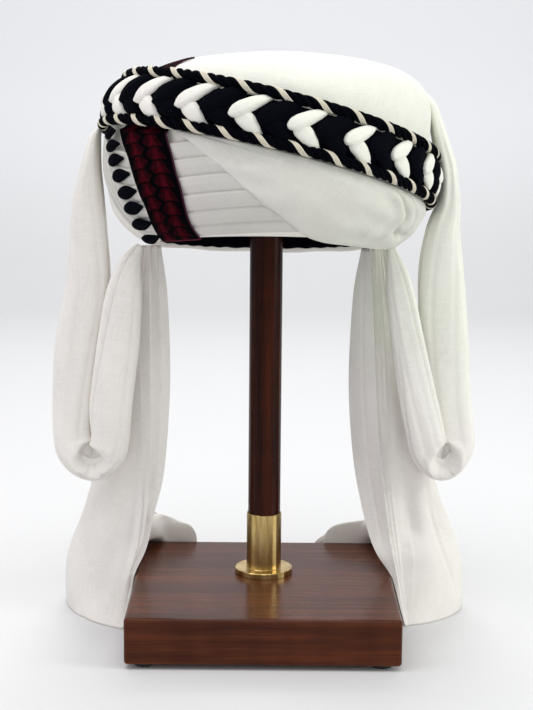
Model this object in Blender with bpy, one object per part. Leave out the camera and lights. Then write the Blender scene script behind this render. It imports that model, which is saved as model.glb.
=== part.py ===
# Tied turban pagri with a plaited band, carried by the plain wooden stand that it is kept on.
# Metres, +Z up, front towards -Y. The origin is on the floor, under the middle of the whole object.
import math

import bmesh
import bpy
import numpy as np

# Gap between touching pieces
GAP = 0.0003

# Where the post's axis stands, so that the whole object is centred on the origin
POST_X = 0.0
POST_Y = -0.0099

# Stand
BASE_SIDE = 0.236
BASE_HEIGHT = 0.041
BASE_EDGE = 0.003
POST_SETBACK = 0.0188
FOOT_RADIUS = 0.0085
FOOT_HEIGHT = 0.0045
FOOT_INSET = 0.016
POST_RADIUS = 0.0148
COLLAR_INNER = 0.0151
COLLAR_OUTER = 0.0160
COLLAR_HEIGHT = 0.057
COLLAR_EDGE = 0.0006
FLANGE_RADIUS = 0.0265
FLANGE_HEIGHT = 0.005
STAND_TOP_RADIUS = 0.055
STAND_TOP_DEPTH = 0.030
STAND_TOP_EDGE = 0.002
STAND_TOP_GAP = 0.0020
BASE_TOP = FOOT_HEIGHT + BASE_HEIGHT

# Turban: its rim's height, its lean with the front up, and its outline
RIM_HEIGHT = 0.349
LEAN = math.radians(9.3)
OUTER_RADIUS = 0.142
DEPTH_RATIO = 1.09
WIDEST_HEIGHT = 0.085
RISE_ABOVE = 0.0735
RISE_BELOW = 0.0945
RIM_RADIUS = 0.108
ROUNDING_ABOVE = 3.8
ROUNDING_BELOW = 3.6

# The crown leans over to the right from this height on
CROWN_SHIFT = 0.009
SHIFT_START = 0.070
SHIFT_SPAN = 0.090

# Cap inside it: a straight wall under a round dome
CAP_INNER = 0.093
CAP_WALL = 0.002
CAP_FOOT = 0.006
DOME_BASE = 0.030
DOME_STEPS = 6
CAVITY_FOOT = 0.0105

# Plait and the cords beside it, as distances up the wrap from the rim
PLAIT_HEIGHT = 0.0910
PLAIT_LEAN = 0.0320
PLAIT_HALF = 0.0143
PLAIT_THICK = 0.013
PLAIT_EDGE = 0.0015
PLAIT_LIFT = 0.0028
PLAIT_RINGS = 56
CORD_RADIUS = 0.0044
CORD_OFFSET = 0.0190

# Cloth lies this far off the wrap, and ends this far below the middle of the lower cord
UNDER_CLOTH = 0.0012
TUCK = 0.0048

# Pleats on the left front, as distances up the wrap
PLEAT_FIRST = 0.0005
PLEAT_PITCH = 0.0143
PLEAT_SLOPE = 0.00015
PLEAT_COUNT = 6
PLEAT_LOW = 0.0021
PLEAT_HIGH = 0.0037
PLEAT_STEP = 0.0004
PLEAT_LEFT = -80.0
PLEAT_GAP = 1.2
FAN_FRONT = 28.0
FAN_START = -52.0
FAN_ARC = 0.0960
FAN_PITCH = 0.0020
FAN_REACH = 0.85
FAN_RISE = 0.0027

# Swathe laid over the pleats
SWATHE_EDGE_THICK = 0.0022
SWATHE_TOP_THICK = 0.0030
SWATHE_THICK = 0.0050
ROLL_THICK = 0.0070

# Shares of its width over which it thins to its lower and to its upper edge
SWATHE_ROUNDED = 0.16
SWATHE_THINNED = 0.15

# Azimuths between which it is padded, and the spans over which the padding begins and ends
ROLL_START = 14.0
ROLL_IN = 16.0
ROLL_END = 92.0
ROLL_OUT = 20.0

# Its lower edge falls steadily as far as this azimuth
EDGE_FALL_END = 24.0

# Woven band and its tabs
BAND_WALL = 0.0014
BAND_ON_PLEATS = 0.0046
BAND_ON_WRAP = 0.0005
BAND_DROP_END = 0.0050
BAND_DROP_SPAN = 0.0040

# Where the lower cord crosses the band, in degrees. Its sections are even up to there,
# close together at the crossing and at the curved tip above.
BAND_CROSSING = -45.0
BAND_EVEN_END = 0.0240
BAND_CROSSING_STEPS = (-0.0190, -0.0150, -0.0115, -0.0085, -0.0055, 0.0, 0.0160, 0.0300)
BAND_LAST_ARCS = (0.152, 0.158, 0.164, 0.169)
TAB_LENGTH = 0.0250
TAB_WIDTH = 0.0106
TAB_THICK = 0.0034
TAB_TAPER = 0.48

# Rim's rounding under the wrap: radius, height
RIM_ROUNDING = (
    (0.0955, 0.0065),
    (0.0962, 0.0032),
    (0.0980, 0.0012),
    (0.1010, 0.0006),
    (0.1045, 0.0010),
)

# Levels of the wound crown above the rim, as distances up the wrap
CROWN_ARCS = (0.0, 0.013, 0.030, 0.052, 0.080, 0.108, 0.135, 0.158, 0.182, 0.212, 0.250)

# Swathe's lower edge: azimuth in degrees, distance up the wrap
SWATHE_EDGE = (
    (-34.0, 0.0990),
    (-27.0, 0.0876),
    (-14.5, 0.0626),
    (-9.0, 0.0497),
    (-3.0, 0.0370),
    (5.0, 0.0233),
    (16.0, 0.0010),
    (24.0, -0.0060),
    (34.0, -0.0095),
    (66.0, -0.0095),
    (76.0, -0.0030),
    (86.0, 0.0100),
    (98.0, 0.0250),
)

# Azimuths of the swathe's sections, in degrees
SWATHE_STATIONS = (
    -31.5, -27.0, -20.5, -14.5, -9.0, -3.0, 1.0, 5.0, 9.0, 12.5, 16.0, 20.0,
    24.0, 29.0, 34.0, 42.0, 50.0, 58.0, 66.0, 71.0, 76.0, 81.0, 86.0, 92.0, 98.0,
)  # fmt: skip
SWATHE_SHARES = (0.0, 0.05, 0.12, 0.20, 0.30, 0.42, 0.60, 0.80, 0.94, 1.0)

# Band's middle: distance up the wrap, azimuth in degrees, half width
BAND_MIDDLE = (
    (0.0010, -39.6, 0.0203),
    (0.0292, -36.9, 0.0188),
    (0.0470, -37.2, 0.0209),
    (0.0613, -38.9, 0.0219),
    (0.0753, -40.7, 0.0230),
    (0.1033, -45.6, 0.0258),
    (0.1267, -47.0, 0.0245),
    (0.1480, -47.0, 0.0190),
    (0.1580, -44.5, 0.0120),
    (0.1640, -39.5, 0.0060),
    (0.1690, -34.5, 0.0022),
)

# Edge tabs: azimuth of the middle in degrees, height, and how far each sinks between two folds
EDGE_TABS = (
    (-66.5, 0.0900, 0.0009),
    (-62.3, 0.0780, 0.0),
    (-59.6, 0.0655, 0.0),
    (-56.4, 0.0524, 0.0006),
    (-54.1, 0.0386, 0.0008),
    (-52.6, 0.0268, 0.0),
    (-52.9, 0.0152, 0.0),
    (-57.2, 0.0052, 0.0012),
)

# Left loop, measured from the post's axis: x, y, z, half width, half depth
LEFT_LOOP = (
    (-0.1497, 0.006, 0.4496, 0.0022, 0.014),
    (-0.1533, 0.005, 0.4405, 0.0046, 0.018),
    (-0.1565, 0.003, 0.4180, 0.0078, 0.019),
    (-0.1588, 0.002, 0.3900, 0.0122, 0.016),
    (-0.1595, 0.001, 0.3600, 0.0150, 0.013),
    (-0.1600, 0.000, 0.3100, 0.0180, 0.011),
    (-0.1690, -0.002, 0.2600, 0.0183, 0.010),
    (-0.1745, -0.004, 0.2050, 0.0165, 0.010),
    (-0.1750, -0.006, 0.1720, 0.0155, 0.010),
    (-0.1700, -0.008, 0.1580, 0.0155, 0.010),
    (-0.1570, -0.010, 0.1510, 0.0158, 0.010),
    (-0.1440, -0.012, 0.1580, 0.0155, 0.010),
    (-0.1395, -0.014, 0.1750, 0.0155, 0.010),
    (-0.1385, -0.016, 0.2050, 0.0172, 0.010),
    (-0.1318, -0.018, 0.2600, 0.0170, 0.009),
    (-0.1265, -0.018, 0.3050, 0.0143, 0.008),
    (-0.1215, -0.014, 0.3310, 0.0098, 0.008),
    (-0.1130, -0.010, 0.3488, 0.0050, 0.007),
)

# Right loop, the same columns
RIGHT_LOOP = (
    (0.1333, 0.037, 0.4893, 0.0022, 0.009),
    (0.1480, 0.036, 0.4745, 0.0030, 0.015),
    (0.1535, 0.034, 0.4570, 0.0040, 0.019),
    (0.1585, 0.031, 0.4400, 0.0045, 0.021),
    (0.1645, 0.029, 0.4200, 0.0050, 0.021),
    (0.1665, 0.027, 0.4020, 0.0055, 0.021),
    (0.1660, 0.025, 0.3830, 0.0080, 0.019),
    (0.1600, 0.021, 0.3600, 0.0140, 0.014),
    (0.1590, 0.017, 0.3250, 0.0185, 0.011),
    (0.1620, 0.014, 0.2750, 0.0195, 0.010),
    (0.1690, 0.011, 0.2150, 0.0175, 0.010),
    (0.1748, 0.008, 0.1800, 0.0155, 0.010),
    (0.1748, 0.005, 0.1640, 0.0150, 0.010),
    (0.1635, 0.001, 0.1510, 0.0152, 0.010),
    (0.1500, -0.003, 0.1620, 0.0150, 0.010),
    (0.1440, -0.006, 0.1850, 0.0155, 0.010),
    (0.1373, -0.008, 0.2150, 0.0150, 0.010),
    (0.1278, -0.008, 0.2650, 0.0132, 0.009),
    (0.1190, -0.004, 0.3150, 0.0105, 0.008),
    (0.1120, 0.002, 0.3470, 0.0055, 0.006),
)

# Left tail, measured from the post's axis: height, then the four points that bend each level
LEFT_TAIL = (
    (0.3484, (-0.0950, 0.006), (-0.103, 0.006), (-0.112, 0.010), (-0.1180, 0.016)),
    (0.3000, (-0.0888, 0.004), (-0.105, 0.002), (-0.120, 0.008), (-0.1300, 0.024)),
    (0.2200, (-0.0868, 0.004), (-0.115, -0.002), (-0.138, 0.010), (-0.1400, 0.040)),
    (0.1400, (-0.0922, 0.004), (-0.160, -0.002), (-0.175, 0.030), (-0.1300, 0.075)),
    (0.1000, (-0.1016, 0.000), (-0.208, -0.004), (-0.162, 0.060), (-0.1250, 0.100)),
    (0.0700, (-0.1072, -0.006), (-0.256, -0.002), (-0.134, 0.090), (-0.0980, 0.110)),
    (0.0580, (-0.1115, -0.004), (-0.252, 0.000), (-0.158, 0.116), (-0.0740, 0.112)),
    (0.0455, (-0.1190, 0.004), (-0.232, 0.000), (-0.200, 0.128), (-0.0670, 0.109)),
    (0.0200, (-0.1225, -0.014), (-0.216, 0.000), (-0.226, 0.134), (-0.0655, 0.111)),
    (0.0003, (-0.1280, -0.033), (-0.200, 0.000), (-0.240, 0.136), (-0.0640, 0.112)),
)

# Right tail, the same columns
RIGHT_TAIL = (
    (0.3484, (0.0876, 0.014), (0.098, 0.014), (0.108, 0.016), (0.1150, 0.020)),
    (0.3000, (0.0799, 0.010), (0.100, 0.008), (0.118, 0.012), (0.1290, 0.028)),
    (0.2200, (0.0769, 0.008), (0.110, 0.002), (0.140, 0.014), (0.1440, 0.040)),
    (0.1500, (0.0818, 0.004), (0.150, -0.004), (0.178, 0.026), (0.1360, 0.075)),
    (0.1050, (0.0901, -0.002), (0.205, -0.006), (0.168, 0.060), (0.1240, 0.100)),
    (0.0700, (0.0998, -0.008), (0.262, -0.006), (0.132, 0.086), (0.1060, 0.108)),
    (0.0560, (0.1070, -0.004), (0.256, -0.006), (0.150, 0.114), (0.0600, 0.112)),
    (0.0455, (0.1190, 0.008), (0.235, -0.004), (0.198, 0.128), (0.0480, 0.109)),
    (0.0200, (0.1248, -0.010), (0.227, 0.002), (0.212, 0.134), (0.0470, 0.111)),
    (0.0003, (0.1304, -0.018), (0.220, 0.008), (0.217, 0.136), (0.0460, 0.112)),
)
TAIL_HALF_WALL = 0.0012
TAIL_FOLDS = 5
TAIL_FOLD_DEPTH = 0.0022
TAIL_COLUMNS = 20

# Below this height a tail's levels are flat. Its edges run straight over this share of its width.
TAIL_LEVEL_TOP = 0.300
TAIL_PLAIN_EDGE = 0.083
TAIL_STEP = 0.02


def clear_scene():
    for item in list(bpy.data.objects):
        bpy.data.objects.remove(item, do_unlink=True)


def make_material(name, colour, roughness, metallic=0.0):
    material = bpy.data.materials.new(name)
    material.use_nodes = True
    shader = material.node_tree.nodes["Principled BSDF"]
    shader.inputs["Base Color"].default_value = (*colour, 1.0)
    shader.inputs["Roughness"].default_value = roughness
    shader.inputs["Metallic"].default_value = metallic
    return material


def add_object(name, vertices, faces, material, sharp_degrees=50.0):
    # Faces are turned outward here, so the ring makers need not mind their order
    mesh = bpy.data.meshes.new(name)
    mesh.from_pydata([tuple(v) for v in vertices], [], faces)
    shape = bmesh.new()
    shape.from_mesh(mesh)
    bmesh.ops.recalc_face_normals(shape, faces=shape.faces)
    shape.to_mesh(mesh)
    shape.free()
    mesh.shade_smooth()
    mesh.set_sharp_from_angle(angle=math.radians(sharp_degrees))
    mesh.materials.append(material)
    item = bpy.data.objects.new(name, mesh)
    bpy.context.scene.collection.objects.link(item)
    return item


def loft(name, rings, material, ends, sharp_degrees=50.0):
    # Rings of equal counts are joined in order. Ends: "loop" joins the last to the first,
    # "fan" closes each with a middle point, "strip" pairs the two sides of a thin section.
    count = len(rings[0])
    vertices = [point for ring in rings for point in ring]
    faces = []
    spans = len(rings) if ends == "loop" else len(rings) - 1
    for i in range(spans):
        a = i * count
        b = ((i + 1) % len(rings)) * count
        for j in range(count):
            k = (j + 1) % count
            faces.append((a + j, a + k, b + k, b + j))
    for i in (0, len(rings) - 1):
        if ends == "loop":
            break
        a = i * count
        if ends == "fan":
            vertices.append(np.mean(rings[i], axis=0))
            middle = len(vertices) - 1
            faces += [(a + j, a + (j + 1) % count, middle) for j in range(count)]
        else:
            for j in range(count // 2 - 1):
                faces.append((a + j, a + j + 1, a + count - 2 - j, a + count - 1 - j))
    return add_object(name, vertices, faces, material, sharp_degrees)


def turned(name, profile, material, sides, centre=(POST_X, POST_Y)):
    # A closed outline of radius and height, turned about an upright axis. Points on the axis are shared.
    vertices = []
    rows = []
    for radius, height in profile:
        if radius == 0.0:
            rows.append([len(vertices)] * sides)
            vertices.append((centre[0], centre[1], height))
            continue
        rows.append(list(range(len(vertices), len(vertices) + sides)))
        for j in range(sides):
            angle = 2.0 * math.pi * j / sides
            x = centre[0] + radius * math.cos(angle)
            vertices.append((x, centre[1] + radius * math.sin(angle), height))
    faces = []
    for i, row in enumerate(rows):
        after = rows[(i + 1) % len(rows)]
        for j in range(sides):
            k = (j + 1) % sides
            corners = list(dict.fromkeys((row[j], row[k], after[k], after[j])))
            if len(corners) > 2:
                faces.append(corners)
    return add_object(name, vertices, faces, material, 35.0)


def place(x, back, up):
    # A point of the leaning turban, from its rim's centre. The cap's dome stays over the post.
    centre_y = POST_Y - DOME_BASE * math.sin(LEAN)
    y = centre_y + back * math.cos(LEAN) + up * math.sin(LEAN)
    z = RIM_HEIGHT - back * math.sin(LEAN) + up * math.cos(LEAN)
    return np.array((POST_X + x, y, z))


def smooth_step(value):
    value = min(max(value, 0.0), 1.0)
    return value * value * (3.0 - 2.0 * value)


def wrap_outline():
    # Distance along the outline from the rim, radius and height, with the rounding under the rim first
    start = -math.acos((RIM_RADIUS / OUTER_RADIUS) ** (ROUNDING_BELOW / 2.0))
    angles = np.linspace(start, math.pi / 2.0, 900)
    power = 2.0 / np.where(angles < 0.0, ROUNDING_BELOW, ROUNDING_ABOVE)
    radius = OUTER_RADIUS * np.clip(np.cos(angles), 0.0, 1.0) ** power
    rise = np.where(angles < 0.0, -RISE_BELOW, RISE_ABOVE)
    height = WIDEST_HEIGHT + rise * np.abs(np.sin(angles)) ** power
    under = len(RIM_ROUNDING)
    radius = np.concatenate(([r for r, h in RIM_ROUNDING], radius))
    height = np.concatenate(([h for r, h in RIM_ROUNDING], height))
    steps = np.hypot(np.diff(radius), np.diff(height))
    arc = np.concatenate(([0.0], np.cumsum(steps)))
    return arc - arc[under], radius, height


ARC, RADIUS, HEIGHT = wrap_outline()
RIM_END = int(np.argmax(ARC >= 0.0))


def arc_at(height):
    return float(np.interp(height, HEIGHT[RIM_END:], ARC[RIM_END:]))


def on_wrap(azimuth, arc, lift=0.0):
    # A point lifted off the wound outline. Azimuth is in degrees, 0 in front, 90 at +X.
    # The rim's rounding is round in plan, and the outline above it is deeper than wide.
    step = 0.0015
    low = max(arc - step, ARC[0])
    high = min(arc + step, ARC[-1])
    radius = np.interp(arc, ARC, RADIUS)
    height = np.interp(arc, ARC, HEIGHT)
    along_r = np.interp(high, ARC, RADIUS) - np.interp(low, ARC, RADIUS)
    along_h = np.interp(high, ARC, HEIGHT) - np.interp(low, ARC, HEIGHT)
    length = math.hypot(along_r, along_h)
    radius += lift * along_h / length
    height -= lift * along_r / length
    deeper = np.interp(arc, (ARC[0], 0.0), (1.0, DEPTH_RATIO))
    shift = CROWN_SHIFT * smooth_step((height - SHIFT_START) / SHIFT_SPAN)
    turn = math.radians(azimuth)
    return place(radius * math.sin(turn) + shift, -radius * deeper * math.cos(turn), height)


def column(table, value, index):
    return float(np.interp(value, [row[0] for row in table], [row[index] for row in table]))


def plait_arc(azimuth):
    return arc_at(PLAIT_HEIGHT - PLAIT_LEAN * math.sin(math.radians(azimuth)))


def lower_cord_arc(azimuth):
    return plait_arc(azimuth) - CORD_OFFSET


def fan_turn(azimuth):
    return smooth_step((azimuth - FAN_START) / (PLEAT_LEFT - FAN_START))


def fan_rise(azimuth):
    # The folds stand a little off the wrap where they turn upward
    along = min(max((azimuth - FAN_START) / (PLEAT_LEFT - FAN_START), 0.0), 1.0)
    return FAN_RISE * min(1.0, 4.0 * along, 4.0 * (1.0 - along))


def pleat_arc(number, azimuth):
    # The folded edges run nearly level in front and fan up together at the left side
    arc = PLEAT_FIRST + PLEAT_PITCH * number + PLEAT_SLOPE * (max(azimuth, FAN_START) + FAN_FRONT)
    return arc + (FAN_ARC + FAN_PITCH * number - arc) * FAN_REACH * fan_turn(azimuth)


def edge_azimuth(arc):
    # The swathe's edge as an azimuth for a distance up the wrap
    rows = [row for row in SWATHE_EDGE if row[0] <= EDGE_FALL_END][::-1]
    return float(np.interp(arc, [row[1] for row in rows], [row[0] for row in rows]))


def pleat_end(number):
    # Where a folded edge meets the swathe, found by going back and forth between the two
    end = 0.0
    for _ in range(6):
        end = edge_azimuth(pleat_arc(number, end))
    return end - PLEAT_GAP


def make_base(wood):
    mesh = bpy.data.meshes.new("base")
    shape = bmesh.new()
    bmesh.ops.create_cube(shape, size=1.0)
    bmesh.ops.scale(shape, vec=(BASE_SIDE, BASE_SIDE, BASE_HEIGHT), verts=shape.verts)
    bmesh.ops.bevel(
        shape, geom=list(shape.edges), offset=BASE_EDGE, segments=3, profile=0.5, affect="EDGES"
    )
    shape.to_mesh(mesh)
    shape.free()
    mesh.shade_smooth()
    mesh.materials.append(wood)
    base = bpy.data.objects.new("base", mesh)
    base.location = (POST_X, POST_Y - POST_SETBACK, FOOT_HEIGHT + BASE_HEIGHT / 2.0)
    bpy.context.scene.collection.objects.link(base)


def make_feet(rubber):
    reach = BASE_SIDE / 2.0 - FOOT_INSET
    corners = ((-1, -1), (1, -1), (1, 1), (-1, 1))
    top = FOOT_HEIGHT - GAP
    outline = ((0.0, 0.0), (FOOT_RADIUS, 0.0), (FOOT_RADIUS, top), (0.0, top))
    for number, (sx, sy) in enumerate(corners, start=1):
        centre = (POST_X + sx * reach, POST_Y - POST_SETBACK + sy * reach)
        turned(f"rubber_foot_{number}", outline, rubber, 12, centre)


def make_collar(brass):
    bottom = BASE_TOP + GAP
    flange_top = bottom + FLANGE_HEIGHT
    top = BASE_TOP + COLLAR_HEIGHT
    outline = (
        (COLLAR_INNER, bottom),
        (FLANGE_RADIUS, bottom),
        (FLANGE_RADIUS, flange_top - COLLAR_EDGE),
        (FLANGE_RADIUS - COLLAR_EDGE, flange_top),
        (COLLAR_OUTER + COLLAR_EDGE, flange_top),
        (COLLAR_OUTER, flange_top + COLLAR_EDGE),
        (COLLAR_OUTER, top - COLLAR_EDGE / 2.0),
        (COLLAR_OUTER - COLLAR_EDGE / 2.0, top),
        (COLLAR_INNER, top),
    )
    turned("brass_collar", outline, brass, 24)


def stand_top_bottom():
    return place(0.0, 0.0, DOME_BASE)[2] + CAP_INNER - STAND_TOP_DEPTH


def make_post(wood):
    bottom = BASE_TOP + GAP
    top = stand_top_bottom() - GAP
    outline = ((0.0, bottom), (POST_RADIUS, bottom), (POST_RADIUS, top), (0.0, top))
    turned("post", outline, wood, 24)


def make_stand_top(wood):
    # A turned disc whose round top carries the cap's dome
    middle = place(0.0, 0.0, DOME_BASE)[2]
    dome = CAP_INNER - STAND_TOP_GAP
    bottom = stand_top_bottom()
    edge = STAND_TOP_EDGE
    outline = [(0.0, bottom), (STAND_TOP_RADIUS - edge, bottom), (STAND_TOP_RADIUS, bottom + edge)]
    for share in (1.0, 0.8, 0.6, 0.4, 0.2, 0.0):
        radius = STAND_TOP_RADIUS * share
        outline.append((radius, middle + math.sqrt(dome * dome - radius * radius)))
    turned("stand_top", outline, wood, 24)


def dome_rings(radius, foot, sides):
    # Rings up a straight wall and over its dome, the top point left out
    rows = [(radius, foot)]
    for step in range(DOME_STEPS):
        angle = 0.5 * math.pi * step / DOME_STEPS
        rows.append((radius * math.cos(angle), DOME_BASE + radius * math.sin(angle)))
    rings = []
    for wide, height in rows:
        turns = [2.0 * math.pi * j / sides for j in range(sides)]
        rings.append([place(wide * math.sin(t), -wide * math.cos(t), height) for t in turns])
    return rings


def make_cup(name, rings, inner_top, outer_top, material):
    # A cup with its mouth down: rings from the inner top to the mouth and up to the outer top
    sides = len(rings[0])
    vertices = [point for ring in rings for point in ring]
    faces = []
    for i in range(len(rings) - 1):
        for j in range(sides):
            k = (j + 1) % sides
            a = i * sides
            faces.append((a + j, a + k, a + sides + k, a + sides + j))
    for first, top in ((0, inner_top), ((len(rings) - 1) * sides, outer_top)):
        vertices.append(top)
        middle = len(vertices) - 1
        faces += [(first + j, first + (j + 1) % sides, middle) for j in range(sides)]
    return add_object(name, vertices, faces, material)


def make_cap_lining(cloth):
    sides = 24
    outer_radius = CAP_INNER + CAP_WALL
    rings = dome_rings(CAP_INNER, CAP_FOOT, sides)[::-1] + dome_rings(outer_radius, CAP_FOOT, sides)
    inner_top = place(0.0, 0.0, DOME_BASE + CAP_INNER)
    outer_top = place(0.0, 0.0, DOME_BASE + outer_radius)
    make_cup("cap_lining", rings, inner_top, outer_top, cloth)


def make_crown_wrap(cloth):
    sides = 40
    cavity = CAP_INNER + CAP_WALL + 2.0 * GAP
    rings = dome_rings(cavity, CAVITY_FOOT, sides)[::-1]
    for arc in [ARC[i] for i in range(0, RIM_END, 2)] + list(CROWN_ARCS):
        rings.append([on_wrap(360.0 * j / sides, arc) for j in range(sides)])
    inner_top = place(0.0, 0.0, DOME_BASE + cavity)
    outer_top = on_wrap(0.0, ARC[-1])
    make_cup("crown_wrap", rings, inner_top, outer_top, cloth)


def section(outside, inside):
    # A thin section as one ring: its outside from one edge to the other, then back along its inside
    return list(outside) + list(inside)[::-1]


def make_pleated_front(cloth):
    # Each pleat slopes from a raised folded edge at its top down to the next fold below it
    rows = []
    for number in range(PLEAT_COUNT):
        rows.append((number, 0.0, PLEAT_LOW))
        rows.append((number + 1, -PLEAT_STEP, PLEAT_HIGH))
    ends = [pleat_end(number) for number in range(PLEAT_COUNT + 1)]
    columns = 15
    rings = []
    for i in range(columns):
        along = i / (columns - 1)
        outside = []
        inside = []
        for j, (number, shift, lift) in enumerate(rows):
            azimuth = PLEAT_LEFT + (ends[number] - PLEAT_LEFT) * along
            limit = lower_cord_arc(azimuth) - TUCK - PLEAT_STEP * (len(rows) - 1 - j)
            arc = min(pleat_arc(number, azimuth) + shift, limit)
            outside.append(on_wrap(azimuth, arc, lift + fan_rise(azimuth)))
            inside.append(on_wrap(azimuth, arc, UNDER_CLOTH + fan_rise(azimuth)))
        rings.append(section(outside, inside))
    loft("pleated_front", rings, cloth, "strip", 30.0)


def swathe_lift(azimuth, share):
    # The swathe is thin along its two edges, and padded where its lower edge rolls under the rim
    roll = smooth_step((azimuth - ROLL_START) / ROLL_IN) * smooth_step((ROLL_END - azimuth) / ROLL_OUT)
    thick = SWATHE_THICK + (ROLL_THICK - SWATHE_THICK) * roll
    rounded = math.sqrt(min(share / SWATHE_ROUNDED, 1.0))
    lower = SWATHE_EDGE_THICK + (thick - SWATHE_EDGE_THICK) * rounded
    upper = SWATHE_TOP_THICK + (thick - SWATHE_TOP_THICK) * min((1.0 - share) / SWATHE_THINNED, 1.0)
    return min(lower, upper)


def make_diagonal_swathe(cloth):
    rings = []
    for azimuth in SWATHE_STATIONS:
        bottom = column(SWATHE_EDGE, azimuth, 1)
        top = lower_cord_arc(azimuth) - TUCK
        arcs = [bottom + (top - bottom) * share for share in SWATHE_SHARES]
        outside = [on_wrap(azimuth, a, swathe_lift(azimuth, s)) for a, s in zip(arcs, SWATHE_SHARES)]
        inside = [on_wrap(azimuth, a, UNDER_CLOTH) for a in arcs]
        rings.append(section(outside, inside))
    loft("diagonal_swathe", rings, cloth, "strip")


def band_lift(azimuth, arc):
    # The band lies on the pleats, and drops to the wrap before the lower cord crosses it
    drop = (lower_cord_arc(azimuth) - BAND_DROP_END - arc) / BAND_DROP_SPAN
    on_pleats = BAND_ON_PLEATS + fan_rise(azimuth)
    return BAND_ON_WRAP + (on_pleats - BAND_ON_WRAP) * min(max(drop, 0.0), 1.0)


def make_brocade_band(cloth):
    crossing = lower_cord_arc(BAND_CROSSING)
    first = BAND_MIDDLE[0][0]
    steps = [crossing + step for step in BAND_CROSSING_STEPS]
    rings = []
    for arc in list(np.linspace(first, crossing - BAND_EVEN_END, 9)) + steps + list(BAND_LAST_ARCS):
        middle = column(BAND_MIDDLE, arc, 1)
        half = column(BAND_MIDDLE, arc, 2)
        radius = float(np.interp(arc, ARC, RADIUS))
        outside = []
        inside = []
        for share in (-1.0, -0.5, 0.0, 0.5, 1.0):
            azimuth = middle + share * math.degrees(half / radius)
            lift = band_lift(azimuth, arc)
            outside.append(on_wrap(azimuth, arc, lift + BAND_WALL))
            inside.append(on_wrap(azimuth, arc, lift))
        rings.append(section(outside, inside))
    loft("brocade_band", rings, cloth, "strip")


def tab_outline(share):
    # A teardrop from its point at +1 round the blunt end at -1: along, across
    turn = 2.0 * math.pi * share
    along = math.cos(turn)
    across = math.sin(turn) * (1.0 - TAB_TAPER * smooth_step((along + 0.2) / 1.2))
    return along * TAB_LENGTH / 2.0, across * TAB_WIDTH / 2.0


def make_edge_tabs(cloth):
    sides = 10
    levels = ((0.90, 0.0), (1.0, 0.4), (0.62, 1.0))
    for number, (azimuth, height, sunk) in enumerate(EDGE_TABS, start=1):
        rings = []
        arc = arc_at(height)
        radius = float(np.interp(arc, ARC, RADIUS))
        for size, rise in levels:
            ring = []
            for j in range(sides):
                along, across = tab_outline(j / sides)
                turn = azimuth + math.degrees(size * along / radius)
                lift = BAND_ON_PLEATS - sunk + fan_rise(turn) + TAB_THICK * rise
                ring.append(on_wrap(turn, arc + size * across, lift))
            rings.append(ring)
        loft(f"edge_tab_{number}", rings, cloth, "fan")


def make_plait(cloth):
    rings = []
    for i in range(PLAIT_RINGS):
        azimuth = 360.0 * i / PLAIT_RINGS
        middle = plait_arc(azimuth)
        outside = []
        for share in (-0.97, -0.72, -0.38, 0.0, 0.38, 0.72, 0.97):
            swell = (PLAIT_THICK - PLAIT_EDGE) * math.sqrt(1.0 - (share * 0.99) ** 2)
            outside.append(on_wrap(azimuth, middle + share * PLAIT_HALF, PLAIT_LIFT + PLAIT_EDGE + swell))
        inside = []
        for share in (-0.92, -0.46, 0.0, 0.46, 0.92):
            inside.append(on_wrap(azimuth, middle + share * PLAIT_HALF, PLAIT_LIFT))
        rings.append(section(outside, inside))
    loft("plait", rings, cloth, "loop")


def make_cord(name, offset, cloth):
    rings = []
    sides = 6
    for i in range(PLAIT_RINGS):
        azimuth = 360.0 * i / PLAIT_RINGS
        middle = plait_arc(azimuth) + offset
        ring = []
        for j in range(sides):
            turn = 2.0 * math.pi * j / sides
            lift = PLAIT_LIFT + CORD_RADIUS + CORD_RADIUS * math.sin(turn)
            ring.append(on_wrap(azimuth, middle + CORD_RADIUS * math.cos(turn), lift))
        rings.append(ring)
    loft(name, rings, cloth, "loop", 70.0)


def smooth_rows(table, per_span):
    # A smooth curve through the rows of a table, each column alike
    rows = np.array(table, dtype=float)
    padded = np.vstack((2.0 * rows[0] - rows[1], rows, 2.0 * rows[-1] - rows[-2]))
    result = []
    for i in range(1, len(padded) - 2):
        for step in range(per_span):
            t = step / per_span
            a, b, c, d = padded[i - 1 : i + 3]
            curve = 2.0 * b + (c - a) * t + (2.0 * a - 5.0 * b + 4.0 * c - d) * t * t
            curve = curve + (3.0 * b - a - 3.0 * c + d) * t * t * t
            result.append(0.5 * curve)
    result.append(rows[-1])
    return np.array(result)


def make_loop(name, table, cloth):
    # A soft strap whose sections stand across its run, in the loop's own upright plane
    rows = smooth_rows(table, 2)
    sides = 10
    rings = []
    for i, row in enumerate(rows):
        before = rows[max(i - 1, 0)][:3]
        after = rows[min(i + 1, len(rows) - 1)][:3]
        run = (after - before) / np.linalg.norm(after - before)
        depth = np.array((0.0, 1.0, 0.0)) - run * run[1]
        depth = depth / np.linalg.norm(depth)
        across = np.cross(depth, run)
        ring = []
        for j in range(sides):
            turn = 2.0 * math.pi * j / sides
            offset = across * row[3] * math.cos(turn) + depth * row[4] * math.sin(turn)
            ring.append(np.array((POST_X, POST_Y, 0.0)) + row[:3] + offset)
        rings.append(ring)
    loft(name, rings, cloth, "fan")


def level_point(row, share):
    # A point of one level of a tail, on the cubic that its four points bend. The top follows the rim.
    weights = ((1 - share) ** 3, 3 * share * (1 - share) ** 2, 3 * share**2 * (1 - share), share**3)
    x = sum(w * p[0] for w, p in zip(weights, row[1:]))
    y = sum(w * p[1] for w, p in zip(weights, row[1:]))
    lean = math.tan(LEAN) * smooth_step((row[0] - TAIL_LEVEL_TOP) / (RIM_HEIGHT - TAIL_LEVEL_TOP))
    return np.array((POST_X + x, POST_Y + y, row[0] - lean * y))


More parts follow.
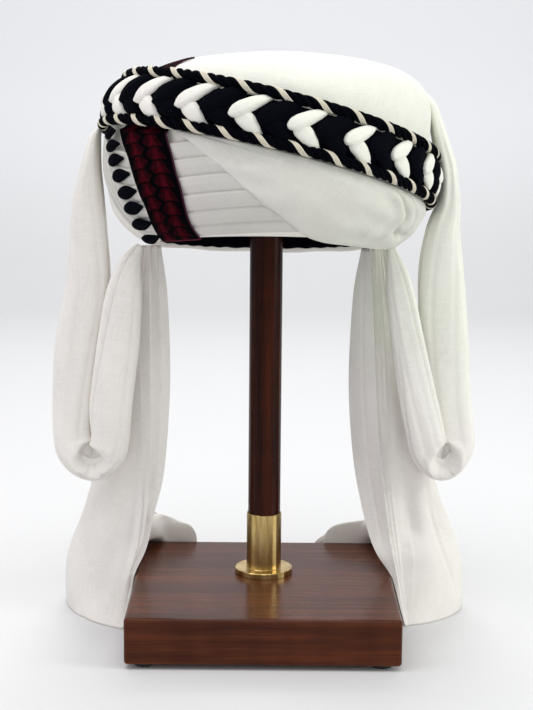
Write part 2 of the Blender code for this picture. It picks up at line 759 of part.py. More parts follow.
def make_tail(name, table, cloth):
    # A gathered sheet: every level is a rippled curve, narrow at the rim and wide on the floor
    rings = []
    for row in table:
        outside = []
        inside = []
        for j in range(TAIL_COLUMNS):
            share = j / (TAIL_COLUMNS - 1)
            here = level_point(row, share)
            after = level_point(row, min(share + TAIL_STEP, 1.0))
            run = after - level_point(row, max(share - TAIL_STEP, 0.0))
            normal = np.array((run[1], -run[0], 0.0)) / math.hypot(run[0], run[1])
            depth = TAIL_FOLD_DEPTH * smooth_step(min(share, 1.0 - share) / TAIL_PLAIN_EDGE)
            fold = depth * math.sin(2.0 * math.pi * TAIL_FOLDS * share)
            outside.append(here + normal * (fold + TAIL_HALF_WALL))
            inside.append(here + normal * (fold - TAIL_HALF_WALL))
        rings.append(section(outside, inside))
    loft(name, rings, cloth, "strip", 60.0)


def main():
    clear_scene()
    white = make_material("white_cloth", (0.82, 0.80, 0.75), 0.9)
    black = make_material("black_cloth", (0.012, 0.012, 0.02), 0.85)
    brocade = make_material("brocade", (0.11, 0.01, 0.015), 0.8)
    wood = make_material("mahogany", (0.09, 0.03, 0.02), 0.3)
    brass = make_material("brass", (0.75, 0.58, 0.26), 0.3, 1.0)
    rubber = make_material("rubber", (0.02, 0.02, 0.02), 0.8)
    make_base(wood)
    make_feet(rubber)
    make_collar(brass)
    make_post(wood)
    make_stand_top(wood)
    make_cap_lining(black)
    make_crown_wrap(white)
    make_pleated_front(white)
    make_diagonal_swathe(white)
    make_brocade_band(brocade)
    make_edge_tabs(black)
    make_plait(black)
    make_cord("upper_cord", CORD_OFFSET, black)
    make_cord("lower_cord", -CORD_OFFSET, black)
    make_loop("left_loop", LEFT_LOOP, white)
    make_loop("right_loop", RIGHT_LOOP, white)
    make_tail("left_tail", LEFT_TAIL, white)
    make_tail("right_tail", RIGHT_TAIL, white)


main()
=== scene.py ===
import math

import bmesh
import bpy
import numpy as np
from mathutils import Matrix, Vector


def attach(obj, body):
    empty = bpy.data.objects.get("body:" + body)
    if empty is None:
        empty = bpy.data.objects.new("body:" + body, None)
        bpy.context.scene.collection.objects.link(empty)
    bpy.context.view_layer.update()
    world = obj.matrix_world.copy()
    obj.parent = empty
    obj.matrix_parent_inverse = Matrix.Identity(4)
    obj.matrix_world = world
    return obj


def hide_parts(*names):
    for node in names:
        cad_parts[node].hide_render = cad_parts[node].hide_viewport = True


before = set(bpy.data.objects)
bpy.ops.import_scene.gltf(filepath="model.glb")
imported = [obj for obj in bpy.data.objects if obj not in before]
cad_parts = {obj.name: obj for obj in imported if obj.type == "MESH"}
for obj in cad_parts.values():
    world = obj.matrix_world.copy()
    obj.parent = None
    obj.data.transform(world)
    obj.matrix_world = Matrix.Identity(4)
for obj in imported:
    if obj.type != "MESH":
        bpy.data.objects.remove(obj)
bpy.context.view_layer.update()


# Shader arithmetic

class Signal:
    # A shader socket that adds, multiplies and so on as plain numbers do
    def __init__(self, surface, socket):
        self.surface = surface
        self.socket = socket

    def maths(self, operation, *values):
        return self.surface.signal("ShaderNodeMath", {"operation": operation}, dict(enumerate(values)))

    def __add__(self, other):
        return self.maths("ADD", self, other)

    def __sub__(self, other):
        return self.maths("SUBTRACT", self, other)

    def __rsub__(self, other):
        return self.maths("SUBTRACT", other, self)

    def __mul__(self, other):
        return self.maths("MULTIPLY", self, other)

    def __truediv__(self, other):
        return self.maths("DIVIDE", self, other)

    def __abs__(self):
        return self.maths("ABSOLUTE", self)

    __radd__ = __add__
    __rmul__ = __mul__

    def fract(self):
        return self.maths("FRACT", self)

    def most(self, other):
        return self.maths("MAXIMUM", self, other)

    def eased(self, low, high):
        # 0 below low, 1 above high, smooth between them
        inputs = {"Value": self, "From Min": low, "From Max": high}
        return self.surface.signal("ShaderNodeMapRange", {"interpolation_type": "SMOOTHSTEP"}, inputs)


class Surface:
    # One procedural material round its Principled shader
    def __init__(self, name, **constants):
        self.material = bpy.data.materials.new(name)
        self.material.use_nodes = True
        self.tree = self.material.node_tree
        self.shader = self.tree.nodes["Principled BSDF"]
        for key, value in constants.items():
            self.shader.inputs[key.replace("_", " ")].default_value = value

    def add(self, kind, settings=None, inputs=None):
        node = self.tree.nodes.new(kind)
        for key, value in (settings or {}).items():
            setattr(node, key, value)
        for key, value in (inputs or {}).items():
            self.feed(node.inputs[key], value)
        return node

    def signal(self, kind, settings=None, inputs=None):
        return Signal(self, self.add(kind, settings, inputs).outputs[0])

    def feed(self, socket, value):
        if isinstance(value, Signal):
            value = value.socket
        if isinstance(value, bpy.types.NodeSocket):
            self.tree.links.new(value, socket)
        else:
            socket.default_value = value

    def set(self, name, value):
        self.feed(self.shader.inputs[name], value)

    def position(self, scale=1.0):
        return self.scaled(self.add("ShaderNodeTexCoord").outputs["Object"], scale)

    def cloth(self, scale=1.0):
        return self.scaled(self.add("ShaderNodeUVMap", {"uv_map": "UVMap"}).outputs["UV"], scale)

    def scaled(self, vector, scale):
        scale = scale if isinstance(scale, tuple) else (scale, scale, scale)
        return self.add("ShaderNodeVectorMath", {"operation": "MULTIPLY"}, {0: vector, 1: scale}).outputs[0]

    def parts(self, vector):
        node = self.add("ShaderNodeSeparateXYZ", None, {0: vector})
        return [Signal(self, socket) for socket in node.outputs]

    def noise(self, vector, detail=2.0, roughness=0.5, distortion=0.0):
        look = {"Scale": 1.0, "Detail": detail, "Roughness": roughness, "Distortion": distortion}
        return self.signal("ShaderNodeTexNoise", None, {"Vector": vector, **look})

    def mixed(self, factor, first, second):
        first, second = ((*value, 1.0) if isinstance(value, tuple) else value for value in (first, second))
        return self.add("ShaderNodeMix", {"data_type": "RGBA"}, {0: factor, 6: first, 7: second}).outputs[2]

    def bump(self, height, distance):
        node = self.add("ShaderNodeBump", None, {"Height": height, "Distance": distance})
        self.set("Normal", node.outputs["Normal"])


# Materials

muslin = {
    "paintedShadeRose": (0.8, 0.768, 0.728),  # painted shade: a rose tint on the lower and left parts, where the cloth is shaded
    "paintedLightGreen": (0.775, 0.786, 0.7),  # painted light: a green tint on the upper right parts, where the cloth is lit
    "turn": (1.2, 2.5, 0.34),  # the painted shade turns into the painted light with the clouds and the place, from this height on
    "paintedLightSpan": (-0.25, 0.45),
    # Lit and shaded copies of one muslin: the swathe and pleats are painted darker as shade, and the roll is
    # painted brighter as light from behind
    "tones": {"whiteMuslin": 1.05, "swatheMuslinPaintedShade": 0.86, "rollMuslinPaintedLight": 1.17, "pleatMuslinPaintedShade": 0.78},
    "shade": 0.8,  # how much darker the worn threads are
    "threads": (1500.0, 70.0, 2.0),  # fineness across and along, detail
    "slubs": (90.0, 900.0, 3.0),
    "crumple": (34.0, 34.0, 22.0),
    "clouds": (11.0, 11.0, 9.0),
    "relief": (0.45, 0.6, 2.2),  # shares of threads, slubs and crumple
    "worn": (0.5, 0.45, 0.8),
    "leastWorn": 0.22,
    "depth": 0.00025,
}


def makeWhiteCloth(name):
    # Hand-loomed muslin: fine threads both ways, thicker slubs along them, and soft clouding, with painted
    # light and shade: rose low and on the left, green high on the right
    s = Surface(name, Roughness=0.95, Specular_IOR_Level=0.1, Sheen_Weight=0.08, Sheen_Roughness=0.5)
    threads, slubs = (s.noise(s.cloth((a, b, 1.0)), detail) + s.noise(s.cloth((b, a, 1.0)), detail)
                      for a, b, detail in (muslin["threads"], muslin["slubs"]))
    crumple = s.noise(s.position(muslin["crumple"]), detail=4.0, roughness=0.6)
    clouds = s.noise(s.position(muslin["clouds"]))
    thread, slub, soft = muslin["relief"]
    s.bump(threads * thread + slubs * slub + crumple * soft, muslin["depth"])
    x, _, z = s.parts(s.position())
    cloudy, sloping, height = muslin["turn"]
    # Painted light and shade: the place picks the shaded rose or the lit green, and random clouds blur the
    # border between them
    where = (clouds - 0.5) * cloudy + x * sloping + (z - height) * sloping
    paintedShadeRose, paintedLightGreen = (tuple(value * muslin["tones"][name] for value in muslin[key]) for key in ("paintedShadeRose", "paintedLightGreen"))
    cloudsAndPaintedLight = s.mixed(where.eased(*muslin["paintedLightSpan"]), paintedShadeRose, paintedLightGreen)
    thread, slub, soft = muslin["worn"]
    worn = (threads - 1.0) * thread + (slubs - 1.0) * slub + (crumple - 0.5) * soft + muslin["leastWorn"]
    dark = tuple(value * muslin["shade"] for value in paintedShadeRose)
    s.set("Base Color", s.mixed(worn.eased(0.0, 1.0), cloudsAndPaintedLight, dark))
    return s.material


blackCotton = {
    "colours": ((0.0003, 0.0004, 0.0011), (0.0042, 0.0048, 0.0088)),
    "fibres": 900.0,
    "creases": (40.0, 420.0, 1.0),
    "relief": (0.35, 1.3),  # shares of fibres and creases
    "shading": (0.3, 0.7),
    "depth": 0.0005,
}


def makeBlackCloth():
    s = Surface("blackCotton", Roughness=0.85, Specular_IOR_Level=0.02)
    fibres = s.noise(s.position(blackCotton["fibres"]))
    creases = s.noise(s.cloth(blackCotton["creases"]), detail=3.0)
    relief, shading = (fibres * fine + creases * broad
                       for fine, broad in (blackCotton["relief"], blackCotton["shading"]))
    s.bump(relief, blackCotton["depth"])
    s.set("Base Color", s.mixed(shading, *blackCotton["colours"]))
    return s.material


# Fineness, detail, the two colours, and the relief's depth
creamCord = (700.0, 2.0, ((0.74, 0.7, 0.58), (0.52, 0.47, 0.35)), 0.0002)
blackRubber = (500.0, 3.0, ((0.008, 0.008, 0.008), (0.03, 0.03, 0.03)), 0.0002)


def makeSpeckled(name, look, **constants):
    fineness, detail, colours, depth = look
    s = Surface(name, **constants)
    specks = s.noise(s.position(fineness), detail)
    s.bump(specks, depth)
    s.set("Base Color", s.mixed(specks, *colours))
    return s.material


weave = {
    "period": 0.0108,  # length of one figure along the band
    "lags": (0.0, 0.45),  # how far each column starts into a figure
    "margin": (0.07, 0.9),  # black selvedges, as shares of the width
    "columns": (0.27, 0.69),
    "middle": 0.48,
    "swing": 0.13,  # how far the zigzag between the columns swings
    "gap": 0.054,
    "notch": 0.115,  # depth of the teeth on the outer sides
    "innerEdge": (-0.006, 0.01),
    "outerEdge": (-0.01, 0.012),
    "parting": (0.44, 0.485),  # the line between two figures, from a figure's middle
    "partingDepth": 0.85,
    "wedge": (0.095, 0.075),  # half width of the brighter wedge at its start, and what it loses
    "wedgeEdge": (-0.035, 0.045),
    "wedgeStart": (0.05, 0.2),
    "threads": (90.0, 2600.0, 1.0),
    "worn": (13.0, 260.0, 1.0),
    "wornSpan": (0.35, 0.65),
    "brightness": (0.9, 0.05),  # of a wedge, worn or not
    "threadShade": 0.35,
    "relief": (0.8, 0.5),  # shares of figures and threads
    "edgingAt": (0.975, 0.985),
    "pipingAt": (0.001, 0.0018),
    "depth": 0.00035,
    "bright": (0.1, 0.003, 0.0095),
    "red": (0.026, 0.0014, 0.0042),
    "dark": (0.009, 0.0009, 0.002),
    "ground": (0.0008, 0.0007, 0.0014),
    "edging": (0.055, 0.014, 0.03),
    "piping": (0.11, 0.018, 0.034),
}


def makeBrocade():
    # Two columns of toothed red figures on black, each with a brighter wedge, and a zigzag between them
    s = Surface("brocade", Roughness=0.85, Specular_IOR_Level=0.02)
    across, along, _ = s.parts(s.cloth())
    steps = [(along / weave["period"] + lag).fract() for lag in weave["lags"]]
    swing = 1.0 - abs(steps[0] * 2.0 - 1.0)
    zigzag = (swing - 0.5) * weave["swing"] + weave["middle"]
    left, right = weave["margin"]
    insides = (zigzag - across, across - zigzag)
    outsides = (across - left, right - across)
    broad, narrower = weave["wedge"]
    shapes = []
    wedges = []
    for step, inside, outside, column in zip(steps, insides, outsides, weave["columns"]):
        shape = (inside - weave["gap"]).eased(*weave["innerEdge"])
        shape = shape * (outside - step * weave["notch"]).eased(*weave["outerEdge"])
        shape = shape * (1.0 - abs(step - 0.5).eased(*weave["parting"]) * weave["partingDepth"])
        wedge = (broad - step * narrower - abs(across - column)).eased(*weave["wedgeEdge"])
        shapes.append(shape)
        wedges.append(shape * wedge * step.eased(*weave["wedgeStart"]))
    figures = shapes[0].most(shapes[1])
    threads = s.noise(s.cloth(weave["threads"]))
    worn = s.noise(s.cloth(weave["worn"]), detail=3.0)
    body = s.mixed(worn.eased(*weave["wornSpan"]), weave["dark"], weave["red"])
    much, least = weave["brightness"]
    red = s.mixed(wedges[0].most(wedges[1]) * (worn * much + least), body, weave["bright"])
    red = s.mixed(threads * weave["threadShade"], red, weave["dark"])
    colour = s.mixed(figures, weave["ground"], red)
    colour = s.mixed(across.eased(*weave["edgingAt"]), colour, weave["edging"])
    colour = s.mixed(1.0 - along.eased(*weave["pipingAt"]), colour, weave["piping"])
    s.set("Base Color", colour)
    raised, fine = weave["relief"]
    s.bump(figures * raised + threads * fine, weave["depth"])
    return s.material


mahogany = {
    # Fineness across the grain and along it, detail, roughness, distortion
    "grain": (39.0, 2.6, 5.0, 0.6, 0.7),
    "lines": (150.0, 5.0, 4.0, 0.65, 0.4),
    "pores": (1100.0, 34.0, 3.0, 0.6, 0.0),
    "ripple": (7.5, 39.0, 2.0, 0.5, 0.0),
    "tone": (0.75, 0.75, 0.3, 0.25),  # shares of these four
    "toneOffset": 0.51,
    "toneSpan": (0.18, 0.92),
    "poreSpan": (0.6, 0.7),
    "poreShade": 0.6,
    "poreColour": (0.008, 0.002, 0.0012),
    "poreGloss": 0.12,
    "relief": (0.6, 0.5),  # shares of pores and lines
    "depth": 0.00012,
    # The axis that the grain follows, dark and light wood, roughness, specular level
    "baseMahogany": (0, (0.034, 0.0072, 0.0028), (0.14, 0.036, 0.012), 0.16, 0.13),
    "postMahogany": (2, (0.006, 0.0008, 0.0004), (0.06, 0.012, 0.0036), 0.14, 0.09),
}


def makeMahogany(name):
    # Streaks run along one axis, with short dark pores and a soft ripple across them
    axis, low, high, gloss, shine = mahogany[name]
    s = Surface(name, Specular_IOR_Level=shine)

    def streaks(across, along, *look):
        return s.noise(s.position(tuple(along if i == axis else across for i in range(3))), *look)

    grain, lines, pores, ripple = (streaks(*mahogany[key]) for key in ("grain", "lines", "pores", "ripple"))
    a, b, c, d = mahogany["tone"]
    tone = grain * a + lines * b + pores * c + ripple * d - mahogany["toneOffset"]
    colour = s.mixed(tone.eased(*mahogany["toneSpan"]), low, high)
    inPores = pores.eased(*mahogany["poreSpan"]) * mahogany["poreShade"]
    s.set("Base Color", s.mixed(inPores, colour, mahogany["poreColour"]))
    s.set("Roughness", gloss + pores * mahogany["poreGloss"])
    fine, broad = mahogany["relief"]
    s.bump(pores * fine + lines * broad, mahogany["depth"])
    return s.material


brushedBrass = {
    "turning": (160.0, 160.0, 2400.0),
    "stains": (120.0, 120.0, 16.0),
    "stainSpan": (0.32, 0.68),
    "colours": ((0.72, 0.54, 0.245), (0.42, 0.285, 0.098)),
    "gloss": (0.2, 0.14),  # least roughness, and what the stains add
    "depth": 0.00002,
}


def makeBrass():
    # Lacquered and handled: lengthwise stains round the tube, very fine turning marks
    s = Surface("brushedBrass", Metallic=1.0)
    stains = s.noise(s.position(brushedBrass["stains"]), detail=3.0, roughness=0.6)
    s.set("Base Color", s.mixed(stains.eased(*brushedBrass["stainSpan"]), *brushedBrass["colours"]))
    least, more = brushedBrass["gloss"]
    s.set("Roughness", least + stains * more)
    s.bump(s.noise(s.position(brushedBrass["turning"])), brushedBrass["depth"])
    return s.material


# The swathe and pleat copies are painted darker as shade, and the roll copy is painted brighter as light
white, swatheWhitePaintedShade, rollWhitePaintedLight, pleatWhitePaintedShade = (makeWhiteCloth(name) for name in muslin["tones"])
black = makeBlackCloth()
cream = makeSpeckled("creamCord", creamCord, Roughness=0.55, Sheen_Weight=0.2)
brocade = makeBrocade()
baseWood, postWood = (makeMahogany(name) for name in ("baseMahogany", "postMahogany"))
brass = makeBrass()
rubber = makeSpeckled("blackRubber", blackRubber, Roughness=0.7)
print("materials made")


# Mesh helpers

def smoothStep(value):
    value = np.clip(value, 0.0, 1.0)
    return value * value * (3.0 - 2.0 * value)


def rising(value, start, span):
    # 0 at the start, 1 a span away from it, smooth between them. The span may be negative.
    return smoothStep((value - start) / span)


def between(low, high, share):
    return low + (high - low) * share


def fullTurn(count):
    # Angles round a circle, in radians
    return np.linspace(0.0, 2.0 * math.pi, count, endpoint=False)


def fromTable(value, table):
    # The second number of a table's rows, read between them by the first
    return np.interp(value, [row[0] for row in table], [row[1] for row in table])


def squarer(values, power):
    # Turns sines and cosines of a circle into those of a rounded square
    return np.sign(values) * np.abs(values) ** power


def angleApart(turn, centre):
    return np.abs((turn - centre + 180.0) % 360.0 - 180.0)


def crease(away, width):
    # 1 on a line, fading to both sides of it
    return np.exp(-(away / width) ** 2)


def ripples(u, v, seed, waves, longest, shortest, stretch=1.0):
    # A smooth uneven field between about -1 and 1. Stretch draws it out along u.
    source = np.random.default_rng(seed)
    total = np.zeros(np.broadcast(u, v).shape)
    for _ in range(waves):
        angle = source.uniform(0.0, math.pi)
        length = shortest * (longest / shortest) ** source.uniform(0.0, 1.0)
        phase = source.uniform(0.0, 2.0 * math.pi)
        along = u * math.cos(angle) / stretch + v * math.sin(angle)
        total += np.sin(2.0 * math.pi * along / length + phase)
    return total / math.sqrt(waves)


def finishMesh(mesh, material):
    shape = bmesh.new()
    shape.from_mesh(mesh)
    bmesh.ops.recalc_face_normals(shape, faces=shape.faces)
    shape.to_mesh(mesh)
    shape.free()
    mesh.shade_smooth()
    mesh.materials.clear()
    mesh.materials.append(material)


def addObject(name, mesh):
    piece = bpy.data.objects.new(name, mesh)
    bpy.context.scene.collection.objects.link(piece)
    return piece


def meshPiece(name, vertices, faces, uvs, material):
    # Faces are lists of vertex numbers, uvs the matching lists of pairs
    mesh = bpy.data.meshes.new(name)
    mesh.from_pydata([tuple(v) for v in vertices], [], faces)
    layer = mesh.uv_layers.new(name="UVMap")
    flat = np.array([pair for face in uvs for pair in face], dtype=np.float32)
    layer.data.foreach_set("uv", flat.ravel())
    finishMesh(mesh, material)
    return addObject(name, mesh)


def lengths(points, closed=False):
    # How far each point is along the line, with the way back to the first if it is closed
    points = np.concatenate((points, points[:1])) if closed else points
    return np.concatenate(([0.0], np.cumsum(np.linalg.norm(np.diff(points, axis=0), axis=1))))


def gridFaces(first, rows, columns, uv, ringed=False, tube=False):
    # Faces of a grid of points and their uvs. Ringed joins the last row to the first, tube the last column.
    faces = []
    corners = []
    for i in range(rows if ringed else rows - 1):
        a, b = first + i * columns, first + (i + 1) % rows * columns
        for j in range(columns if tube else columns - 1):
            n = (j + 1) % columns
            faces.append((a + j, a + n, b + n, b + j))
            corners.append([uv(i, j), uv(i, j + 1), uv(i + 1, j + 1), uv(i + 1, j)])
    return faces, corners


def sheetPiece(name, outside, inside, material, ringed=False, uv=None):
    # Two matching grids, rows along the cloth and columns across it, closed into one thin body
    rows, columns = outside.shape[:2]
    back = rows * columns
    along = lengths(outside[:, columns // 2], ringed)
    across = lengths(outside[rows // 2])
    uv = uv or (lambda i, j: (along[i], across[j]))
    faces, corners = gridFaces(0, rows, columns, uv, ringed)
    faces += [tuple(back + n for n in reversed(face)) for face in faces]
    corners += [pairs[::-1] for pairs in corners]
    edges = [((i, j), (i + 1, j)) for i in range(rows if ringed else rows - 1) for j in (0, columns - 1)]
    if not ringed:
        edges += [((i, j), (i, j + 1)) for i in (0, rows - 1) for j in range(columns - 1)]
    for start, end in edges:
        a, b = (i % rows * columns + j for i, j in (start, end))
        faces.append((a, b, back + b, back + a))
        corners.append([uv(*start), uv(*end), uv(*end), uv(*start)])
    vertices = np.concatenate((outside.reshape(-1, 3), inside.reshape(-1, 3)))
    return meshPiece(name, vertices, faces, corners, material)


def tubePiece(name, rings, material, ringed=False):
    # Rings of equal counts joined in order, ends closed unless ringed
    rings = np.asarray(rings)
    count, sides = rings.shape[:2]
    vertices = list(rings.reshape(-1, 3))
    along = lengths(rings.mean(axis=1), ringed)
    around = lengths(rings[count // 2], True)
    faces, corners = gridFaces(0, count, sides, lambda i, j: (along[i], around[j]), ringed, True)
    for i in () if ringed else (0, count - 1):
        vertices.append(rings[i].mean(axis=0))
        for j in range(sides):
            faces.append((i * sides + j, i * sides + (j + 1) % sides, len(vertices) - 1))
            corners.append([(along[i], around[j]), (along[i], around[j + 1]), (along[i], around[j])])
    return meshPiece(name, vertices, faces, corners, material)


def smoothRows(table, perSpan):
    # A smooth curve through the rows of a table, each column alike
    rows = np.array(table, dtype=float)
    padded = np.vstack((2.0 * rows[0] - rows[1], rows, 2.0 * rows[-1] - rows[-2]))
    result = []
    for i in range(1, len(padded) - 2):
        for step in range(perSpan):
            t = step / perSpan
            a, b, c, d = padded[i - 1:i + 3]
            curve = 2.0 * b + (c - a) * t + (2.0 * a - 5.0 * b + 4.0 * c - d) * t * t
            result.append(0.5 * (curve + (3.0 * b - a - 3.0 * c + d) * t * t * t))
    result.append(rows[-1])
    return np.array(result)


def stand(piece, node):
    # The piece takes the place of this CAD node
    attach(piece, "root")
    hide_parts(node)


# The wound outline that every cloth piece lies on

wrap = {
    "postY": -0.0099,
    "rimHeight": 0.349,
    "lean": math.radians(9.3),
    "outerRadius": 0.142,
    "depthRatio": 1.09,
    "widestHeight": 0.085,
    "riseAbove": 0.0735,
    "riseBelow": 0.0945,
    "rimRadius": 0.108,
    "roundingAbove": 3.8,
    "roundingBelow": 3.6,
    "crownShift": 0.009,
    "shiftStart": 0.07,
    "shiftSpan": 0.09,
    "domeBase": 0.03,
    "samples": 900,  # points worked out along the outline
    "probe": 0.0015,  # how far to both sides the outline's direction is read
    "rimRounding": ((0.0955, 0.0065), (0.0962, 0.0032), (0.098, 0.0012), (0.101, 0.0006), (0.1045, 0.001)),
}


def place(x, back, up):
    # A point of the leaning turban, measured from its rim's centre
    lean = wrap["lean"]
    centreY = wrap["postY"] - wrap["domeBase"] * math.sin(lean)
    y = centreY + back * math.cos(lean) + up * math.sin(lean)
    z = wrap["rimHeight"] - back * math.sin(lean) + up * math.cos(lean)
    x, y, z = np.broadcast_arrays(x, y, z)
    return np.stack((x, y, z), axis=-1)


def wrapOutline():
    # Distance along the outline from the rim, radius and height
    start = -math.acos((wrap["rimRadius"] / wrap["outerRadius"]) ** (wrap["roundingBelow"] / 2.0))
    angles = np.linspace(start, math.pi / 2.0, wrap["samples"])
    power = 2.0 / np.where(angles < 0.0, wrap["roundingBelow"], wrap["roundingAbove"])
    radius = wrap["outerRadius"] * np.clip(np.cos(angles), 0.0, 1.0) ** power
    rise = np.where(angles < 0.0, -wrap["riseBelow"], wrap["riseAbove"])
    height = wrap["widestHeight"] + rise * np.abs(np.sin(angles)) ** power
    rounding = np.array(wrap["rimRounding"])
    radius = np.concatenate((rounding[:, 0], radius))
    height = np.concatenate((rounding[:, 1], height))
    arc = lengths(np.stack((radius, height), axis=1))
    return arc - arc[len(rounding)], radius, height


wrapArc, wrapRadius, wrapHeight = wrapOutline()
rimEnd = int(np.argmax(wrapArc >= 0.0))


def aroundWrap(azimuth):
    # The way round the turban in metres
    return np.radians(azimuth) * wrap["outerRadius"]


def arcAt(height):
    return np.interp(height, wrapHeight[rimEnd:], wrapArc[rimEnd:])


def onWrap(azimuth, arc, lift=0.0):
    # Points lifted off the wound outline. Azimuth in degrees, 0 in front, 90 at +X.
    arc = np.asarray(arc, dtype=float)
    low = np.maximum(arc - wrap["probe"], wrapArc[0])
    high = np.minimum(arc + wrap["probe"], wrapArc[-1])
    alongR, alongH = (np.interp(high, wrapArc, values) - np.interp(low, wrapArc, values)
                      for values in (wrapRadius, wrapHeight))
    length = np.hypot(alongR, alongH)
    radius = np.interp(arc, wrapArc, wrapRadius) + lift * alongH / length
    height = np.interp(arc, wrapArc, wrapHeight) - lift * alongR / length
    deeper = np.interp(arc, (wrapArc[0], 0.0), (1.0, wrap["depthRatio"]))
    shift = wrap["crownShift"] * rising(height, wrap["shiftStart"], wrap["shiftSpan"])
    turn = np.radians(azimuth)
    return place(radius * np.sin(turn) + shift, -radius * deeper * np.cos(turn), height)


plait = {
    "height": 0.091,
    "lean": 0.032,
    "pairs": 20,  # white and black pairs round the turban
    "pitch": 0.048,  # length of one pair along the plait
    "phase": 4.0,  # azimuth of one white point, in degrees
    "whiteWidth": 0.0238,
    "blackWidth": 0.0242,
    "slant": 1.36,
    "bend": 9.0,
    # How wide an arm is from its hidden start to its tip
    "leaf": (
        (0.0, 0.26), (0.05, 0.62), (0.13, 0.9), (0.28, 1.05), (0.55, 1.02), (0.74, 0.82), (0.88, 0.52),
        (0.96, 0.28), (1.0, 0.1),
    ),
    "reach": 0.0168,  # how far from the plait's middle an arm ends
    # Each arm's side, where it starts beside the middle, and how much it is raised there
    "arms": ((1.0, -0.0046, 0.0011), (-1.0, -0.0014, -0.002)),
    "upperWhite": 0.88,  # width of the upper arms against the lower ones
    "upperBlack": 1.12,
    "halfWidth": 0.0148,
    "low": 0.0025,
    "high": 0.0092,
    "crown": 0.0046,
    "under": 0.0028,
    "fibres": 0.13,  # depth of the grooves along a strand
    "grooves": (4.5, 0.5, 0.9, 0.6),  # turns, seed's share, drift and what is taken off
    "waves": (3.0, 1.0, 1.4, 0.06),  # turns, seed's share, drift and depth
    "round": 0.8,
    "underside": 0.6,
    "endSwell": (0.84, 0.12, 0.6, 0.45),  # span, start, power and height
    "middle": 0.008,  # arms are raised or sunk this far beside the middle
    "leastShoulder": 0.03,
    "steps": 25,
    "sides": 24,
    "cell": (0.0012, 0.0011),  # one face of a strand on its cloth
    "coreRings": 180,
    "coreShares": (-1.0, -0.8, -0.4, 0.0, 0.4, 0.8, 1.0),
    "coreOuter": 0.0142,
    "coreInner": 0.013,
    "coreLift": 0.001,
    "coreRound": 0.98,
    "whiteSeed": 1.0,
    "blackSeed": 2.2,
}
cords = {
    "radius": 0.0044,
    "offset": 0.019,
    "lift": 0.0028,
    # Colour, orbit and radius of the strands, sides, and where they start, in degrees
    "strands": (
        ("Black", 0.0027, 0.0022, 10, (60.0, 160.0, 260.0)),
        ("Cream", 0.0042, 0.00078, 7, (-26.0, 0.0, 26.0)),
    ),
    "pointsPerLead": 14,
    "upper": (30, 24.0),  # turns of its strands round the turban, and where they start
    "lower": (33, 233.0),
}


def plaitArc(azimuth):
    return arcAt(plait["height"] - plait["lean"] * np.sin(np.radians(azimuth)))


def lowerCordArc(azimuth):
    return plaitArc(azimuth) - cords["offset"]


# Camera, light and floor

camera = {
    "distance": 1.43,
    "height": 0.488,
    "pitch": 0.1656,
    "roll": math.radians(0.5),
    "sensor": 36.0,
    "picture": 710.0,  # height of the picture, the unit of the next two
    "focal": 1600.0,
    "shift": 1.0,
}


def makeCamera():
    data = bpy.data.cameras.new("studioCamera")
    data.sensor_width = camera["sensor"]
    data.lens = camera["focal"] * camera["sensor"] / camera["picture"]
    data.shift_x = camera["shift"] / camera["picture"]
    view = bpy.data.objects.new("studioCamera", data)
    bpy.context.scene.collection.objects.link(view)
    tilt = Matrix.Rotation(math.pi / 2.0 - camera["pitch"], 4, "X") @ Matrix.Rotation(camera["roll"], 4, "Z")
    view.matrix_world = Matrix.Translation((0.0, wrap["postY"] - camera["distance"], camera["height"])) @ tilt
    bpy.context.scene.camera = view


studio = {
    "sky": (0.93, 0.95, 1.0, 1.0),
    "skyLight": 0.55,
    "front": -3.2,
    "back": 2.0,  # where the floor begins to turn up
    "bend": 0.6,  # radius of that turn
    "top": 3.4,
    "half": 3.4,
    "steps": 12,
    "tones": ((0.71, 0.71, 0.71), (0.865, 0.87, 0.885)),
    "toneSpan": (0.0, 0.5),
    "wear": (3.0, 0.05),  # fineness of its unevenness, and how much there is
}
lights = (
    # Name, place, aim, width, height, watts, colour
    ("topPanel", (-0.3, -0.5, 2.2), (0.0, 0.0, 0.4), 2.2, 1.8, 29.0, (1.0, 0.99, 0.97)),
    ("leftPanel", (-1.9, -0.9, 1.1), (0.0, 0.0, 0.35), 1.0, 1.8, 6.5, (1.0, 0.94, 0.97)),
    ("rightPanel", (1.9, -0.6, 1.0), (0.0, 0.0, 0.35), 0.9, 1.8, 18.5, (0.99, 1.0, 0.94)),
    ("backPanel", (0.0, 1.6, 1.9), (0.0, 0.0, 0.1), 1.6, 1.0, 20.0, (1.0, 1.0, 1.0)),
    ("frontPanel", (0.3, -2.6, 0.9), (0.0, 0.0, 0.35), 1.6, 1.0, 4.0, (1.0, 1.0, 1.0)),
)


def makeLights():
    for name, spot, aim, width, height, watts, colour in lights:
        data = bpy.data.lights.new(name, "AREA")
        data.shape = "RECTANGLE"
        data.size, data.size_y = width, height
        data.energy = watts
        data.color = colour
        lamp = bpy.data.objects.new(name, data)
        lamp.location = spot
        lamp.rotation_euler = (Vector(aim) - Vector(spot)).to_track_quat("-Z", "Y").to_euler()
        bpy.context.scene.collection.objects.link(lamp)
    world = bpy.data.worlds.new("studio")
    bpy.context.scene.world = world
    world.use_nodes = True
    sky = world.node_tree.nodes["Background"]
    sky.inputs[0].default_value = studio["sky"]
    sky.inputs[1].default_value = studio["skyLight"]
    bpy.context.scene.view_settings.view_transform = "Standard"


